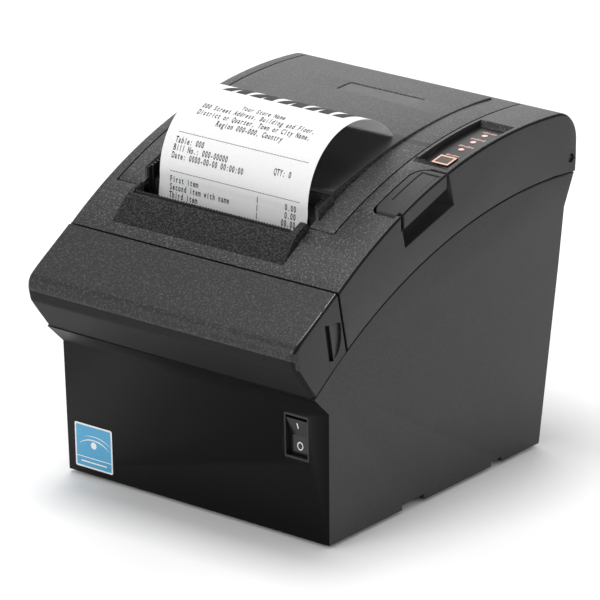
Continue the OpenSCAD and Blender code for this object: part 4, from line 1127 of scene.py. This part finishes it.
def on_rocker(x, t):
    """A place on the rocker's face, t mm above its axle."""
    low, high = (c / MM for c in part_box("switch_body"))
    y = -ROCKER_FACE - ROCKER_BOW * abs(t) / ROCKER_HALF - ROCKER_INK
    cos, sin = math.cos(ROCKER_TILT), math.sin(ROCKER_TILT)
    return ((low[0] + high[0]) / 2 + x, ROCKER_AT[0] + y * cos - t * sin,
            ROCKER_AT[1] + y * sin + t * cos)


def build_switch_marks():
    on_sign, off_sign = bar(-0.28, 0.28, 3.6, 6.4), hoop((0, -4.4), 1.15, 1.6, 1.15)
    mark("switch_signs", [on_sign, off_sign], on_rocker, "rocker", "mark_white",
         slot_of("power_rocker"))


# ---------- sticker ----------

STICKER_FACE_Y, STICKER_SINK, FIELD_T = -73.15, 0.15, 0.02
BORDER, CORNER_R, FIELD_CORNER_R, SWOOSH_STEPS = 0.75, 0.8, 0.4, 24


def on_sticker(x, z):
    return (x, STICKER_FACE_Y, z)


def rounded_outline(x0, x1, z0, z1, radius, n=6):
    """The [x, z] outline of a rectangle with round corners."""
    points = []
    for cx, cz, start in ((x1 - radius, z1 - radius, 0), (x0 + radius, z1 - radius, 90),
                          (x0 + radius, z0 + radius, 180), (x1 - radius, z0 + radius, 270)):
        for a in (math.radians(start + 90 * i / n) for i in range(n + 1)):
            points.append((cx + radius * math.cos(a), cz + radius * math.sin(a)))
    return points


def swoosh(mid_x, mid_z, size, r0, r1, start, end):
    """An arc that swells from a point to its full width and back, as (points, faces)."""
    points = []
    for i in range(SWOOSH_STEPS + 1):
        a = math.radians(start + (end - start) * i / SWOOSH_STEPS)
        fade = math.sin(math.pi * i / SWOOSH_STEPS) * (r1 - r0) / 2
        for r in ((r0 + r1) / 2 - fade, (r0 + r1) / 2 + fade):
            points.append((mid_x + size * r * math.cos(a), mid_z + size * r * 0.62 * math.sin(a)))
    return points, strip_faces(SWOOSH_STEPS)


def build_sticker():
    low, high = (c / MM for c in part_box("front_sticker"))
    x0, x1, z0, z1 = low[0], high[0], low[2], high[2]
    slot = slot_of("front_sticker")
    field_y, base_y = STICKER_FACE_Y + FIELD_T, STICKER_FACE_Y + 2 * FIELD_T
    whole = rounded_outline(x0, x1, z0, z1, CORNER_R)
    base = add_mesh("sticker_base", *slab(whole, base_y, low[1] + STICKER_SINK), "root",
                    "mark_white", slot)
    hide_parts("front_sticker")
    inner = rounded_outline(x0 + BORDER, x1 - BORDER, z0 + BORDER, z1 - BORDER, FIELD_CORNER_R)
    field = add_mesh("sticker_field", *slab(inner, field_y, base_y), "root", "sticker_blue", slot)
    for piece in (base, field):
        outward(piece.data)
    w = x1 - x0
    mid_x = x0 + 0.5 * w
    shapes = [swoosh(mid_x, z0 + 0.36 * w, w, 0.42, 0.46, 20, 150),
              swoosh(mid_x, z0 + 0.36 * w, w, 0.56, 0.585, 35, 120),
              hoop((mid_x, z0 + 0.52 * w), 0.0, 0.075 * w),
              bar(x0 + BORDER, x1 - BORDER, z0 + 4.6, z0 + 4.95),
              bar(x0 + 3.2, x1 - 3.2, z0 + 2.5, z0 + 3.1)]
    mark("sticker_marks", shapes, on_sticker, "root", "mark_white", slot)


# ---------- the scene ----------

make_camera()
make_materials()
dress_nodes()
build_casing()
build_nose()
build_cover()
build_guard()
build_receipt()
build_panel_marks()
build_switch_marks()
build_sticker()
build_tear_bar()
make_world(0.66)
soft_light("overhead", (-0.15, 0.0, 1.5), (0, 0, 0.1), (0.5, 0.5), 10)
soft_light("behind", (-1.5, 1.7, 1.3), (0, 0, 0.1), (1.8, 1.4), 15)
soft_light("right", (1.9, 0.4, 0.6), (0, 0, 0.05), (1.0, 0.8), 6)
soft_light("front", (-0.7, -2.1, 1.1), (0, 0, 0.15), (1.1, 0.9), 13)

FLOOR_REACH = 4
corners = [(x * FLOOR_REACH, y * FLOOR_REACH, 0) for x, y in ((-1, -1), (1, -1), (1, 1), (-1, 1))]
floor_mesh = bpy.data.meshes.new("floor")
floor_mesh.from_pydata(corners, [], [(0, 1, 2, 3)])
floor = linked("floor", floor_mesh)
floor_paint = Paint("floor", (0.93, 0.93, 0.93), 0.9)
floor_paint.color(floor_paint.mix(floor_paint.noise(20), (0.92, 0.92, 0.922), (0.94, 0.94, 0.942)))
wear(floor, "floor")

bpy.context.scene.view_settings.view_transform = "Standard"
